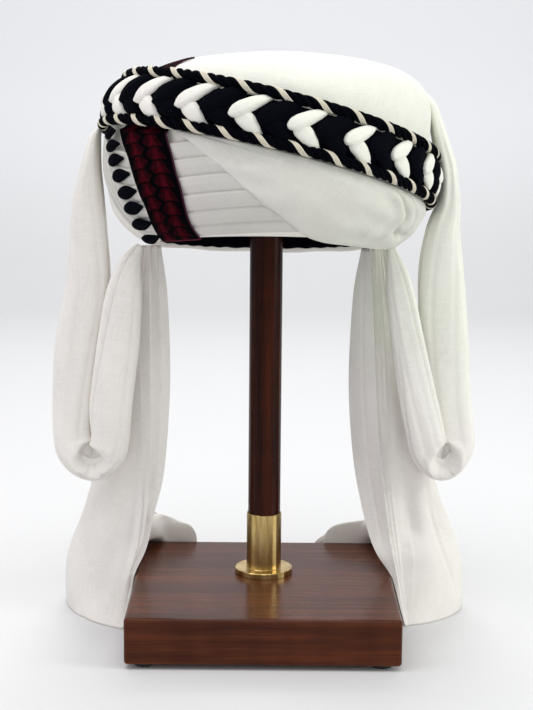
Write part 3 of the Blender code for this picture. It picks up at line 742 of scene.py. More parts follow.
def makeFloor():
    s = Surface("paleFloor", Roughness=0.55, Specular_IOR_Level=0.25)
    fineness, much = studio["wear"]
    wear = s.noise(s.position(fineness))
    _, _, height = s.parts(s.position())
    tone = (height + wear * much).eased(*studio["toneSpan"])
    s.set("Base Color", s.mixed(tone, *studio["tones"]))
    bend = studio["bend"]
    outline = [(studio["front"], 0.0), (studio["back"], 0.0)]
    for step in range(1, studio["steps"] + 1):
        turn = 0.5 * math.pi * step / studio["steps"]
        outline.append((studio["back"] + bend * math.sin(turn), bend - bend * math.cos(turn)))
    outline.append((studio["back"] + bend, studio["top"]))
    vertices = [(x, y, z) for x in (-studio["half"], studio["half"]) for y, z in outline]
    count = len(outline)
    mesh = bpy.data.meshes.new("floor")
    mesh.from_pydata(vertices, [], [(i, i + 1, count + i + 1, count + i) for i in range(count - 1)])
    mesh.shade_smooth()
    mesh.materials.append(s.material)
    addObject("floor", mesh)


makeCamera()
makeLights()
makeFloor()
print("camera, lights and floor made")


# Repeating trees of geometry nodes

def newTree(name, **inputs):
    tree = bpy.data.node_groups.new(name, "GeometryNodeTree")
    tree.interface.new_socket("Geometry", in_out="INPUT", socket_type="NodeSocketGeometry")
    for label, kind in inputs.items():
        tree.interface.new_socket(label, in_out="INPUT", socket_type="NodeSocket" + kind)
    tree.interface.new_socket("Geometry", in_out="OUTPUT", socket_type="NodeSocketGeometry")
    return tree, tree.nodes.new("NodeGroupInput").outputs


def treeNode(tree, kind, inputs=None, **settings):
    # A node of the tree, given back as its first output
    node = tree.nodes.new(kind)
    for key, value in settings.items():
        setattr(node, key, value)
    for key, value in (inputs or {}).items():
        if isinstance(value, bpy.types.NodeSocket):
            tree.links.new(value, node.inputs[key])
        else:
            node.inputs[key].default_value = value
    return node.outputs[0] if node.outputs else None


def endTree(tree, geometry, material):
    real = treeNode(tree, "GeometryNodeRealizeInstances", {0: geometry})
    finish = treeNode(tree, "GeometryNodeSetMaterial", {"Geometry": real, "Material": material})
    treeNode(tree, "NodeGroupOutput", {0: finish})
    return tree


def makeRepeatTree():
    # The same piece again and again along X
    tree, entry = newTree("repeatAlong", Count="Int", Pitch="Float", Material="Material")
    offset = treeNode(tree, "ShaderNodeCombineXYZ", {0: entry["Pitch"]})
    line = treeNode(tree, "GeometryNodeMeshLine", {"Count": entry["Count"], "Offset": offset}, mode="OFFSET")
    copies = treeNode(tree, "GeometryNodeInstanceOnPoints", {"Points": line, "Instance": entry["Geometry"]})
    return endTree(tree, copies, entry["Material"])


def makeTwistTree():
    # One strand of a twisted cord, wound round the curve that it is given
    tree, entry = newTree("twistedStrand", Turns="Float", Orbit="Float", Phase="Float", Radius="Float",
                          Sides="Int", Material="Material")

    def maths(operation, *values):
        return treeNode(tree, "ShaderNodeMath", dict(enumerate(values)), operation=operation)

    def vectors(operation, *values):
        return treeNode(tree, "ShaderNodeVectorMath", dict(enumerate(values)), operation=operation)

    def longer(vector, scale):
        return treeNode(tree, "ShaderNodeVectorMath", {0: vector, "Scale": scale}, operation="SCALE")

    level = treeNode(tree, "GeometryNodeSetCurveNormal", {"Curve": entry["Geometry"]}, mode="Z_UP")
    winding = maths("MULTIPLY", treeNode(tree, "GeometryNodeSplineParameter"), entry["Turns"])
    angle = maths("MULTIPLY_ADD", winding, 2.0 * math.pi, entry["Phase"])
    normal = treeNode(tree, "GeometryNodeInputNormal")
    side = vectors("CROSS_PRODUCT", treeNode(tree, "GeometryNodeInputTangent"), normal)
    both = vectors("ADD", longer(normal, maths("COSINE", angle)), longer(side, maths("SINE", angle)))
    offset = longer(both, entry["Orbit"])
    wound = treeNode(tree, "GeometryNodeSetPosition", {"Geometry": level, "Offset": offset})
    size = {"Resolution": entry["Sides"], "Radius": entry["Radius"]}
    ring = treeNode(tree, "GeometryNodeCurvePrimitiveCircle", size)
    tube = treeNode(tree, "GeometryNodeCurveToMesh", {"Curve": wound, "Profile Curve": ring})
    soft = treeNode(tree, "GeometryNodeSetShadeSmooth", {0: tube})
    return endTree(tree, soft, entry["Material"])


def throughTree(source, tree, values):
    # The source object's shape after the tree, as a plain mesh
    modifier = source.modifiers.new("nodes", "NODES")
    modifier.node_group = tree
    for item in tree.interface.items_tree:
        if item.in_out == "INPUT" and item.name in values:
            modifier[item.identifier] = values[item.name]
    bpy.context.view_layer.update()
    graph = bpy.context.evaluated_depsgraph_get()
    mesh = bpy.data.meshes.new_from_object(source.evaluated_get(graph))
    source.modifiers.remove(modifier)
    bpy.data.objects.remove(source)
    return mesh


def curveSource(points):
    data = bpy.data.curves.new("path", "CURVE")
    data.dimensions = "3D"
    spline = data.splines.new("POLY")
    spline.points.add(len(points) - 1)
    spline.points.foreach_set("co", np.hstack((points, np.ones((len(points), 1)))).ravel())
    spline.use_cyclic_u = True
    return addObject("path", data)


def joinMeshes(name, meshes):
    # Meshes of one material joined into one
    shape = bmesh.new()
    for mesh in meshes:
        shape.from_mesh(mesh)
    joined = bpy.data.meshes.new(name)
    shape.to_mesh(joined)
    shape.free()
    return joined


repeatTree = makeRepeatTree()
twistTree = makeTwistTree()


# Stand

def dressStand():
    finishes = {"base": baseWood, "post": postWood, "stand_top": postWood, "brass_collar": brass}
    finishes.update({f"rubber_foot_{number}": rubber for number in range(1, 5)})
    for name, material in finishes.items():
        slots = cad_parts[name].data.materials
        slots.clear()
        slots.append(material)


dressStand()
print("stand dressed")


# Cap lining

lining = {
    "inner": 0.093,
    "wall": 0.002,
    "foot": 0.0034,
    "tip": 0.0008,  # radius of the last ring
    "sides": 144,
    "domeSteps": 16,
    "wallSteps": 8,
    "pucker": 0.0005,
    "puckers": (31.0, 5.0, 2.0),  # how many there are round the foot, how often they crowd, and how much
    "puckerHeight": 0.02,
}


def liningRows(radius):
    foot, base = lining["foot"], wrap["domeBase"]
    rows = [(radius, foot + (base - foot) * i / lining["wallSteps"]) for i in range(lining["wallSteps"])]
    for step in range(lining["domeSteps"]):
        angle = 0.5 * math.pi * step / lining["domeSteps"]
        rows.append((radius * math.cos(angle), base + radius * math.sin(angle)))
    return rows + [(lining["tip"], base + radius)]


def makeLining():
    turns = fullTurn(lining["sides"])
    many, few, crowding = lining["puckers"]
    pucker = lining["pucker"] * np.sin(turns * many + crowding * np.sin(turns * few))
    grids = []
    for radius in (lining["inner"], lining["inner"] + lining["wall"]):
        grid = [place(wide * np.sin(turns), -wide * np.cos(turns),
                      height + pucker * rising(height, wrap["domeBase"], -lining["puckerHeight"]))
                for wide, height in liningRows(radius)]
        grids.append(np.array(grid).transpose(1, 0, 2))
    piece = sheetPiece("capLining", grids[1], grids[0], black, ringed=True)
    stand(piece, "cap_lining")


makeLining()
print("lining made")


# Wound crown

crown = {
    "columns": 300,
    "rows": 118,
    "tip": 0.0006,
    "swell": 0.0007,
    "lowSwell": 0.35,  # share of it that is left under the top
    "topSpan": (0.215, -0.03),
    "layer": 0.0165,  # width of one turn of cloth at the back
    "layerDepth": 0.0014,
    "layerWander": 0.06,
    "layerRise": 0.86,  # share of a turn's width up to its edge
    "clear": (0.0235, 0.01),  # the relief starts this far from the plait's middle
    "covered": (98.0, -10.0),  # the part in front under other cloth, from its middle
    "coveredMiddle": 9.0,
    "back": (96.0, 16.0),
    "foot": (0.004, 0.01),
    "layerTop": (0.205, -0.02),
    "cavity": 0.0956,
    "cavityFoot": 0.0105,
    "cavityReach": 0.19,
    "cavityStretch": 2.2,
    "cavityTip": 0.004,
    "cavityEven": 0.2,  # how evenly its rings are spread
    "layerRipples": (3, 4, 0.3, 0.1),
    "swellRipples": (11, 7, 0.16, 0.035, 2.2),
}


def crownRelief(azimuth, arc):
    # Quiet swells over the top, and the edges of the wound turns round the back
    x = aroundWrap(azimuth)
    fromPlait = arc - plaitArc(azimuth)
    clear = rising(np.abs(fromPlait), *crown["clear"])
    covered = rising(angleApart(azimuth, crown["coveredMiddle"]), *crown["covered"]) * (fromPlait < 0.0)
    saw = (fromPlait / crown["layer"] + crown["layerWander"] * ripples(x, arc, *crown["layerRipples"])) % 1.0
    peak = crown["layerRise"]
    layers = crown["layerDepth"] * np.where(saw < peak, saw / peak, (1.0 - saw) / (1.0 - peak))
    layers *= rising(angleApart(azimuth, 0.0), *crown["back"])
    layers *= rising(arc, *crown["foot"]) * rising(arc, *crown["layerTop"])
    swell = crown["swell"] * ripples(x, arc, *crown["swellRipples"])
    swell *= between(crown["lowSwell"], 1.0, rising(arc, *crown["topSpan"]))
    return (1.0 - covered) * clear * (swell + layers)


def makeCrown():
    turns = np.linspace(0.0, 360.0, crown["columns"], endpoint=False)
    arcs = np.concatenate((wrapArc[:rimEnd], np.linspace(0.0, wrapArc[-1] - crown["tip"], crown["rows"])))
    azimuth, arc = np.meshgrid(turns, arcs, indexing="ij")
    outside = onWrap(azimuth, arc, crownRelief(azimuth, arc))
    cavity, base, quarter = crown["cavity"], wrap["domeBase"], 0.5 * math.pi
    rows = []
    for share in np.linspace(0.0, 1.0, len(arcs)):
        height = crown["cavityFoot"] + share * crown["cavityStretch"] * (base + cavity)
        if height < base:
            rows.append((cavity, height))
        else:
            even = quarter * between(crown["cavityEven"], 1.0, share)
            angle = min(quarter * (height - base) / crown["cavityReach"], quarter - crown["cavityTip"], even)
            rows.append((cavity * math.cos(angle), base + cavity * math.sin(angle)))
    turn = np.radians(turns)
    inside = np.array([place(r * np.sin(turn), -r * np.cos(turn), h) for r, h in rows]).transpose(1, 0, 2)
    piece = sheetPiece("crownWrap", outside, inside, white, ringed=True)
    stand(piece, "crown_wrap")


makeCrown()
print("crown made")


# Pleats on the left front

pleats = {
    "first": 0.0005,
    "pitch": 0.0143,
    "slope": 0.00015,
    "count": 6,
    "low": 0.0021,
    "high": 0.0037,
    "step": 0.0004,  # depth of the line between two pleats
    "sloped": 0.55,  # share of a pleat that slopes, before it is flat
    "slopeStart": 0.35,
    "lip": 0.1,  # share of it in its rounded upper edge
    "start": 0.07,
    "filled": 0.985,
    "left": -80.0,
    "gap": 0.5,
    "rounds": 6,  # of working out where a pleat meets the swathe
    "fanFront": 28.0,
    "fanStart": -52.0,
    "fanArc": 0.096,
    "fanPitch": 0.002,
    "fanReach": 0.85,
    "fanRise": 0.0027,
    "fanEase": 4.0,  # it rises and sinks over a quarter of the fan
    "under": 0.0012,
    "tuck": 0.0048,
    "apart": 0.00004,  # keeps rows from lying on each other where they are tucked in
    "columns": 170,
    "perPleat": 14,
    "swell": 0.00022,
    "rippled": (21, 6, 0.09, 0.018, 3.0),
    "rippleStep": 0.011,
}
swathe = {
    "edge": (
        (-34.0, 0.099), (-27.0, 0.0876), (-14.5, 0.0626), (-9.0, 0.0497), (-3.0, 0.037), (5.0, 0.0233),
        (16.0, 0.001), (24.0, -0.006), (34.0, -0.0095), (66.0, -0.0095), (76.0, -0.003), (86.0, 0.01),
        (98.0, 0.025),
    ),
    "fallEnd": 24.0,  # the edge falls over the pleats up to here
    "softFrom": 8.0,  # from here on the edge is smoothed
    "softSteps": (-3.0, -1.5, 0.0, 1.5, 3.0),
    "first": -32.5,
    "last": 98.0,
    "edgeThick": 0.0016,
    "threads": math.radians(-38.0),  # the cloth's threads run along the fold
    "topThick": 0.003,
    "thick": 0.005,
    "rollThick": 0.007,
    "rounded": 0.1,
    "thinned": 0.15,
    "roll": ((14.0, 16.0), (92.0, -20.0)),  # where the roll along the lower edge starts and ends
    "crowding": 1.15,  # rows lie closer together towards the edge
    "creaseDepth": 1.35,
    "perSpan": 6,  # points in each span of a crease
    "loose": 0.12,  # share of the width beside each edge where it lies flat
    "swell": 0.0008,
    "rippled": (5, 7, 0.11, 0.02, 3.0),
    "rippleSlant": 1.6,
    "least": 0.0016,
    "columns": 190,
    "rows": 84,
}


def fanTurn(azimuth):
    return rising(azimuth, pleats["fanStart"], pleats["left"] - pleats["fanStart"])


def fanRise(azimuth):
    along = np.clip((azimuth - pleats["fanStart"]) / (pleats["left"] - pleats["fanStart"]), 0.0, 1.0)
    return pleats["fanRise"] * np.minimum(1.0, pleats["fanEase"] * np.minimum(along, 1.0 - along))


def pleatArc(number, azimuth):
    level = np.maximum(azimuth, pleats["fanStart"]) + pleats["fanFront"]
    arc = pleats["first"] + pleats["pitch"] * number + pleats["slope"] * level
    fanned = pleats["fanArc"] + pleats["fanPitch"] * number
    return between(arc, fanned, pleats["fanReach"] * fanTurn(azimuth))


def swatheEdge(azimuth):
    return fromTable(azimuth, swathe["edge"])


def pleatEnd(number):
    rows = [row[::-1] for row in swathe["edge"] if row[0] <= swathe["fallEnd"]][::-1]
    end = 0.0
    for _ in range(pleats["rounds"]):
        end = float(fromTable(pleatArc(number, end), rows))
    return end - pleats["gap"]


def makePleats():
    # Each pleat slopes out from under the fold below it to its own rounded, folded edge at the top
    share = np.arange(pleats["perPleat"]) / (pleats["perPleat"] - 1)
    lip = np.sqrt(1.0 - np.clip((share - 1.0 + pleats["lip"]) / pleats["lip"], 0.0, 1.0) ** 2)
    slope = between(pleats["slopeStart"], 1.0, smoothStep(share / pleats["sloped"]))
    body = between(pleats["low"], pleats["high"], slope)
    lift = between(pleats["low"] - pleats["step"], body, np.minimum(lip, smoothStep(share / pleats["start"])))
    lifts = np.tile(lift, pleats["count"])
    numbers = (np.arange(pleats["count"])[:, None] + share * pleats["filled"]).ravel()
    ends = np.array([pleatEnd(number) for number in numbers]) + 1.0
    below = np.arange(len(numbers))[::-1] * pleats["apart"]
    outside = []
    inside = []
    for along in np.linspace(0.0, 1.0, pleats["columns"]):
        azimuth = between(pleats["left"], ends, along)
        arc = np.minimum(pleatArc(numbers, azimuth), lowerCordArc(azimuth) - pleats["tuck"] - below)
        x = aroundWrap(azimuth)
        swell = pleats["swell"] * ripples(x, numbers * pleats["rippleStep"], *pleats["rippled"])
        outside.append(onWrap(azimuth, arc, lifts + fanRise(azimuth) + swell))
        inside.append(onWrap(azimuth, arc, pleats["under"] + fanRise(azimuth)))
    # The pleats wear a copy of the muslin painted darker, as painted shade
    piece = sheetPiece("pleatedFront", np.array(outside), np.array(inside), pleatWhitePaintedShade)
    stand(piece, "pleated_front")


makePleats()
print("pleats made")


# Swathe

creases = (
    # Azimuth and height points, width, depth. A negative depth stands proud.
    (((47.0, 0.047), (51.4, 0.0364), (55.6, 0.0282), (58.8, 0.0215), (57.5, 0.015), (62.0, 0.0105),
        (69.0, 0.011)), 0.0025, 0.0044),
    (((43.5, 0.049), (47.5, 0.0375), (51.5, 0.029), (53.5, 0.02), (52.5, 0.012)), 0.0055, -0.003),
    (((58.0, 0.042), (62.0, 0.033), (66.4, 0.023), (68.0, 0.015)), 0.003, 0.0024),
    (((52.5, 0.046), (58.0, 0.035), (62.0, 0.024), (62.5, 0.017)), 0.004, -0.0012),
    (((8.0, 0.055), (25.0, 0.033), (42.0, 0.017), (54.0, 0.013)), 0.0075, 0.0008),
    (((-18.0, 0.078), (2.0, 0.05), (22.0, 0.028), (40.0, 0.008)), 0.006, 0.0006),
    (((30.0, 0.05), (44.0, 0.034), (54.0, 0.019)), 0.005, 0.0008),
)


def distanceTo(x, y, points):
    # Distance of each place from a bent line
    best = np.full(np.shape(x), np.inf)
    for (ax, ay), (bx, by) in zip(points[:-1], points[1:]):
        dx, dy = bx - ax, by - ay
        share = np.clip(((x - ax) * dx + (y - ay) * dy) / (dx * dx + dy * dy), 0.0, 1.0)
        best = np.minimum(best, np.hypot(x - ax - share * dx, y - ay - share * dy))
    return best


def creased(azimuth, arc, lines):
    x = aroundWrap(azimuth)
    total = np.zeros(np.shape(x))
    for points, width, depth in lines:
        rows = smoothRows([(aroundWrap(a), arcAt(h)) for a, h in points], swathe["perSpan"])
        total -= depth * crease(distanceTo(x, arc, rows), width)
    return total


def swatheLift(azimuth, share):
    start, end = swathe["roll"]
    edge, top, thick = swathe["edgeThick"], swathe["topThick"], swathe["thick"]
    thick = between(thick, swathe["rollThick"], rising(azimuth, *start) * rising(azimuth, *end))
    lower = between(edge, thick, np.sqrt(np.minimum(share / swathe["rounded"], 1.0)))
    upper = between(top, thick, np.minimum((1.0 - share) / swathe["thinned"], 1.0))
    return np.minimum(lower, upper)


def makeSwathe():
    stations = np.linspace(swathe["first"], swathe["last"], swathe["columns"])
    shares = np.linspace(0.0, 1.0, swathe["rows"]) ** swathe["crowding"]
    azimuth, share = np.meshgrid(stations, shares, indexing="ij")
    soft = np.mean([swatheEdge(azimuth + step) for step in swathe["softSteps"]], axis=0)
    bottom = np.where(azimuth > swathe["softFrom"], soft, swatheEdge(azimuth))
    arc = between(bottom, lowerCordArc(azimuth) - pleats["tuck"], share)
    x = aroundWrap(azimuth)
    loose = smoothStep(share / swathe["loose"]) * smoothStep((1.0 - share) / swathe["loose"])
    folds = swathe["creaseDepth"] * creased(azimuth, arc, creases)
    folds += swathe["swell"] * ripples(x + swathe["rippleSlant"] * arc, arc, *swathe["rippled"])
    outside = onWrap(azimuth, arc, np.maximum(swatheLift(azimuth, share) + loose * folds, swathe["least"]))
    inside = onWrap(azimuth, arc, pleats["under"])
    slant, rise = math.cos(swathe["threads"]), math.sin(swathe["threads"])
    # The swathe wears a copy of the muslin painted darker, as painted shade
    piece = sheetPiece("diagonalSwathe", outside, inside, swatheWhitePaintedShade, uv=lambda i, j: (
        x[i, j] * slant + arc[i, j] * rise, arc[i, j] * slant - x[i, j] * rise))
    stand(piece, "diagonal_swathe")


makeSwathe()
print("swathe made")


# Woven band and its tabs

band = {
    "middle": (
        (0.001, -40.4, 0.0217), (0.0292, -37.7, 0.0203), (0.047, -38.0, 0.0224), (0.0613, -39.7, 0.0234),
        (0.0753, -41.5, 0.0245), (0.1033, -46.2, 0.0268), (0.1267, -47.2, 0.0248), (0.148, -48.5, 0.0205),
        (0.158, -48.0, 0.014), (0.164, -43.5, 0.007), (0.169, -37.5, 0.002),
    ),
    "wall": 0.0014,
    "onPleats": 0.0046,
    "onWrap": 0.0005,
    "dropEnd": 0.005,
    "dropSpan": 0.004,
    "perSpan": 12,
    "swell": 0.00018,
    "rippled": (8, 5, 0.05, 0.015),
    "rolled": 0.0005,  # how much lower the selvedges lie
    "rolledAt": (0.9, 0.1),
    "rows": 170,
    "columns": 25,
}
tabs = {
    "places": (
        (-64.8, 0.09, 0.0009), (-61.0, 0.078, 0.0), (-58.8, 0.0655, 0.0), (-56.4, 0.0524, 0.0006),
        (-54.1, 0.0386, 0.0008), (-52.6, 0.0268, 0.0), (-52.9, 0.0152, 0.0), (-57.2, 0.0052, 0.0012),
    ),
    "length": 0.025,
    "width": 0.0112,
    "thick": 0.0034,
    "taper": 0.48,
    "taperAt": (-0.2, 1.2),
    "sides": 40,
    # Size and rise of each ring, from the stitched rim to the puffed middle
    "levels": (
        (0.9, 0.0), (0.97, 0.1), (1.0, 0.24), (0.98, 0.36), (0.92, 0.46), (0.84, 0.45),
        (0.78, 0.56), (0.66, 0.76), (0.5, 0.9), (0.32, 0.97), (0.14, 1.0),
    ),
}


def bandLift(azimuth, arc):
    dropped = rising(arc, lowerCordArc(azimuth) - band["dropEnd"], -band["dropSpan"])
    return between(band["onWrap"], band["onPleats"] + fanRise(azimuth), dropped)


def makeBand():
    table = smoothRows(band["middle"], band["perSpan"])
    arcs = np.linspace(table[0, 0], table[-1, 0], band["rows"])
    middle, half = (np.interp(arcs, table[:, 0], table[:, column]) for column in (1, 2))
    shares = np.linspace(-1.0, 1.0, band["columns"])
    azimuth = middle[:, None] + shares * np.degrees(half / np.interp(arcs, wrapArc, wrapRadius))[:, None]
    arc = np.repeat(arcs[:, None], len(shares), axis=1)
    lift = bandLift(azimuth, arc)
    swell = band["swell"] * ripples(aroundWrap(azimuth), arc, *band["rippled"])
    rolled = band["rolled"] * rising(np.abs(shares), *band["rolledAt"])
    outside = onWrap(azimuth, arc, lift + band["wall"] + swell - rolled)
    piece = sheetPiece("brocadeBand", outside, onWrap(azimuth, arc, lift), brocade,
                       uv=lambda i, j: (0.5 + 0.5 * shares[j], arcs[i] - arcs[0]))
    stand(piece, "brocade_band")


def tabOutline():
    turn = fullTurn(tabs["sides"])
    along = np.cos(turn)
    across = np.sin(turn) * (1.0 - tabs["taper"] * rising(along, *tabs["taperAt"]))
    return along * tabs["length"] / 2.0, across * tabs["width"] / 2.0


def makeTabs():
    # Stuffed teardrops, puffed inside a stitched rim
    along, across = tabOutline()
    for number, (azimuth, height, sunk) in enumerate(tabs["places"], start=1):
        arc = float(arcAt(height))
        radius = float(np.interp(arc, wrapArc, wrapRadius))
        rings = []
        for size, rise in tabs["levels"]:
            turn = azimuth + np.degrees(size * along / radius)
            lift = band["onPleats"] - sunk + fanRise(turn) + tabs["thick"] * rise
            rings.append(onWrap(turn, arc + size * across, lift))
        piece = tubePiece(f"edgeTab{number}", rings, black)
        stand(piece, f"edge_tab_{number}")


makeBand()
makeTabs()
print("band and tabs made")


# Plait

def bendStrip(points):
    # Flat places along, across and off the plait, in metres, laid on the wrap
    perMetre = 360.0 / (plait["pairs"] * plait["pitch"])
    centre = plait["phase"] + points[:, 0] * perMetre
    fall = (plaitArc(centre + 0.5) - plaitArc(centre - 0.5)) * perMetre
    lean = np.arctan(fall)
    azimuth = centre - points[:, 1] * np.sin(lean) * perMetre
    arc = plaitArc(centre) + points[:, 1] * np.cos(lean)
    return onWrap(azimuth, arc, points[:, 2])


def strandMesh(width, offset, seed, upper):
    # The two arms of one V, lying flat. The upper arm passes over the lower one's beginning.
    vertices = []
    faces = []
    corners = []
    steps, sides = plait["steps"], plait["sides"]
    long, wide = plait["cell"]
    share = np.linspace(0.0, 1.0, steps)
    lag = np.arange(steps)[:, None] / steps
    turn = fullTurn(sides)
    puff = np.sin(turn)
    many, own, drift, less = plait["grooves"]
    fibres = plait["fibres"] * (np.abs(np.cos(many * turn + own * seed + drift * lag)) - less)
    many, own, drift, depth = plait["waves"]
    wave = depth * np.sin(many * turn + own * seed + drift * lag)
    puffed = np.where(puff > 0.0, np.abs(puff) ** plait["round"], plait["underside"] * puff)
    puffed = puffed * (1.0 + (wave + fibres) * np.maximum(puff, 0.0))
    span, start, power, height = plait["endSwell"]
    swell = between(1.0 - height, 1.0, np.sin(math.pi * np.clip(share * span + start, 0.0, 1.0)) ** power)
    for side, start, raised in plait["arms"]:
        across = between(start, plait["reach"], share)
        along = offset + width / 2.0 + plait["slant"] * across + plait["bend"] * np.maximum(across, 0.0) ** 2
        path = np.stack((along, across * side), axis=1)
        run = np.gradient(path, axis=0)
        run /= np.linalg.norm(run, axis=1)[:, None]
        normal = np.stack((-run[:, 1], run[:, 0]), axis=1) * side
        half = 0.5 * width * run[:, 1] * side * fromTable(share, plait["leaf"]) * (upper if side > 0 else 1.0)
        away = np.abs(across)
        shoulder = np.sqrt(np.clip(1.0 - (away / plait["halfWidth"]) ** 2, plait["leastShoulder"], 1.0))
        base = between(plait["low"], plait["high"], shoulder)
        base += raised * rising(away, plait["middle"], -plait["middle"])
        up = base[:, None] + plait["crown"] * swell[:, None] * puffed
        flat = path[:, None] + normal[:, None] * (half[:, None] * np.cos(turn))[:, :, None]
        first = len(vertices)
        vertices.extend(np.dstack((flat, np.maximum(up, plait["under"]))).reshape(-1, 3))
        walls, pairs = gridFaces(first, steps, sides, lambda i, j: (i * long, j * wide), tube=True)
        faces += walls + [tuple(first + i * sides + j for j in range(sides)) for i in (0, steps - 1)]
        corners += pairs + [[(i * long, j * wide) for j in range(sides)] for i in (0, steps - 1)]
    return vertices, faces, corners


def makePlait():
    whiteWidth, blackWidth = plait["whiteWidth"], plait["blackWidth"]
    strands = (
        ("plaitWhite", "white_cloth", white, whiteWidth, 0.0, plait["whiteSeed"], plait["upperWhite"]),
        ("plaitBlack", "black_cloth", black, blackWidth, whiteWidth, plait["blackSeed"], plait["upperBlack"]),
    )
    for name, slot, material, *shape in strands:
        unit = meshPiece("unit", *strandMesh(*shape), material)
        values = {"Count": plait["pairs"], "Pitch": plait["pitch"], "Material": material}
        mesh = throughTree(unit, repeatTree, values)
        places = np.zeros(len(mesh.vertices) * 3)
        mesh.vertices.foreach_get("co", places)
        mesh.vertices.foreach_set("co", bendStrip(places.reshape(-1, 3)).ravel())
        mesh.update()
        finishMesh(mesh, material)
        piece = addObject(name, mesh)
        stand(piece, "plait")
    shares = np.array(plait["coreShares"])
    lift = between(plait["low"], plait["high"], np.sqrt(1.0 - (plait["coreRound"] * shares) ** 2))
    rings = []
    for azimuth in np.linspace(0.0, 360.0, plait["coreRings"], endpoint=False):
        middle = plaitArc(azimuth)
        outer = onWrap(azimuth, middle + shares * plait["coreOuter"], lift + plait["coreLift"])
        inner = onWrap(azimuth, middle + shares[::-1] * plait["coreInner"], plait["under"])
        rings.append(np.concatenate((outer, inner)))
    stand(tubePiece("plaitCore", rings, black, ringed=True), "plait")


makePlait()
print("plait made")


# Twisted cords

def makeCord(name, node, offset, leads, phase):
    azimuth = np.linspace(-180.0, 180.0, leads * cords["pointsPerLead"], endpoint=False)
    points = onWrap(azimuth, plaitArc(azimuth) + offset, cords["lift"] + cords["radius"])
    finishes = {"Black": (black, "black_cloth"), "Cream": (cream, "white_cloth")}
    for colour, orbit, radius, sides, turns in cords["strands"]:
        material, slot = finishes[colour]
        values = {"Turns": float(leads), "Orbit": orbit, "Radius": radius, "Sides": sides}
        values["Material"] = material
        meshes = []
        for turn in turns:
            values["Phase"] = math.radians(turn + phase)
            meshes.append(throughTree(curveSource(points), twistTree, values))
        mesh = joinMeshes(name + colour, meshes)
        mesh.uv_layers.new(name="UVMap")
        finishMesh(mesh, material)
        stand(addObject(name + colour, mesh), node)


makeCord("upperCord", "upper_cord", cords["offset"], *cords["upper"])
makeCord("lowerCord", "lower_cord", -cords["offset"], *cords["lower"])
print("cords made")


# Loops

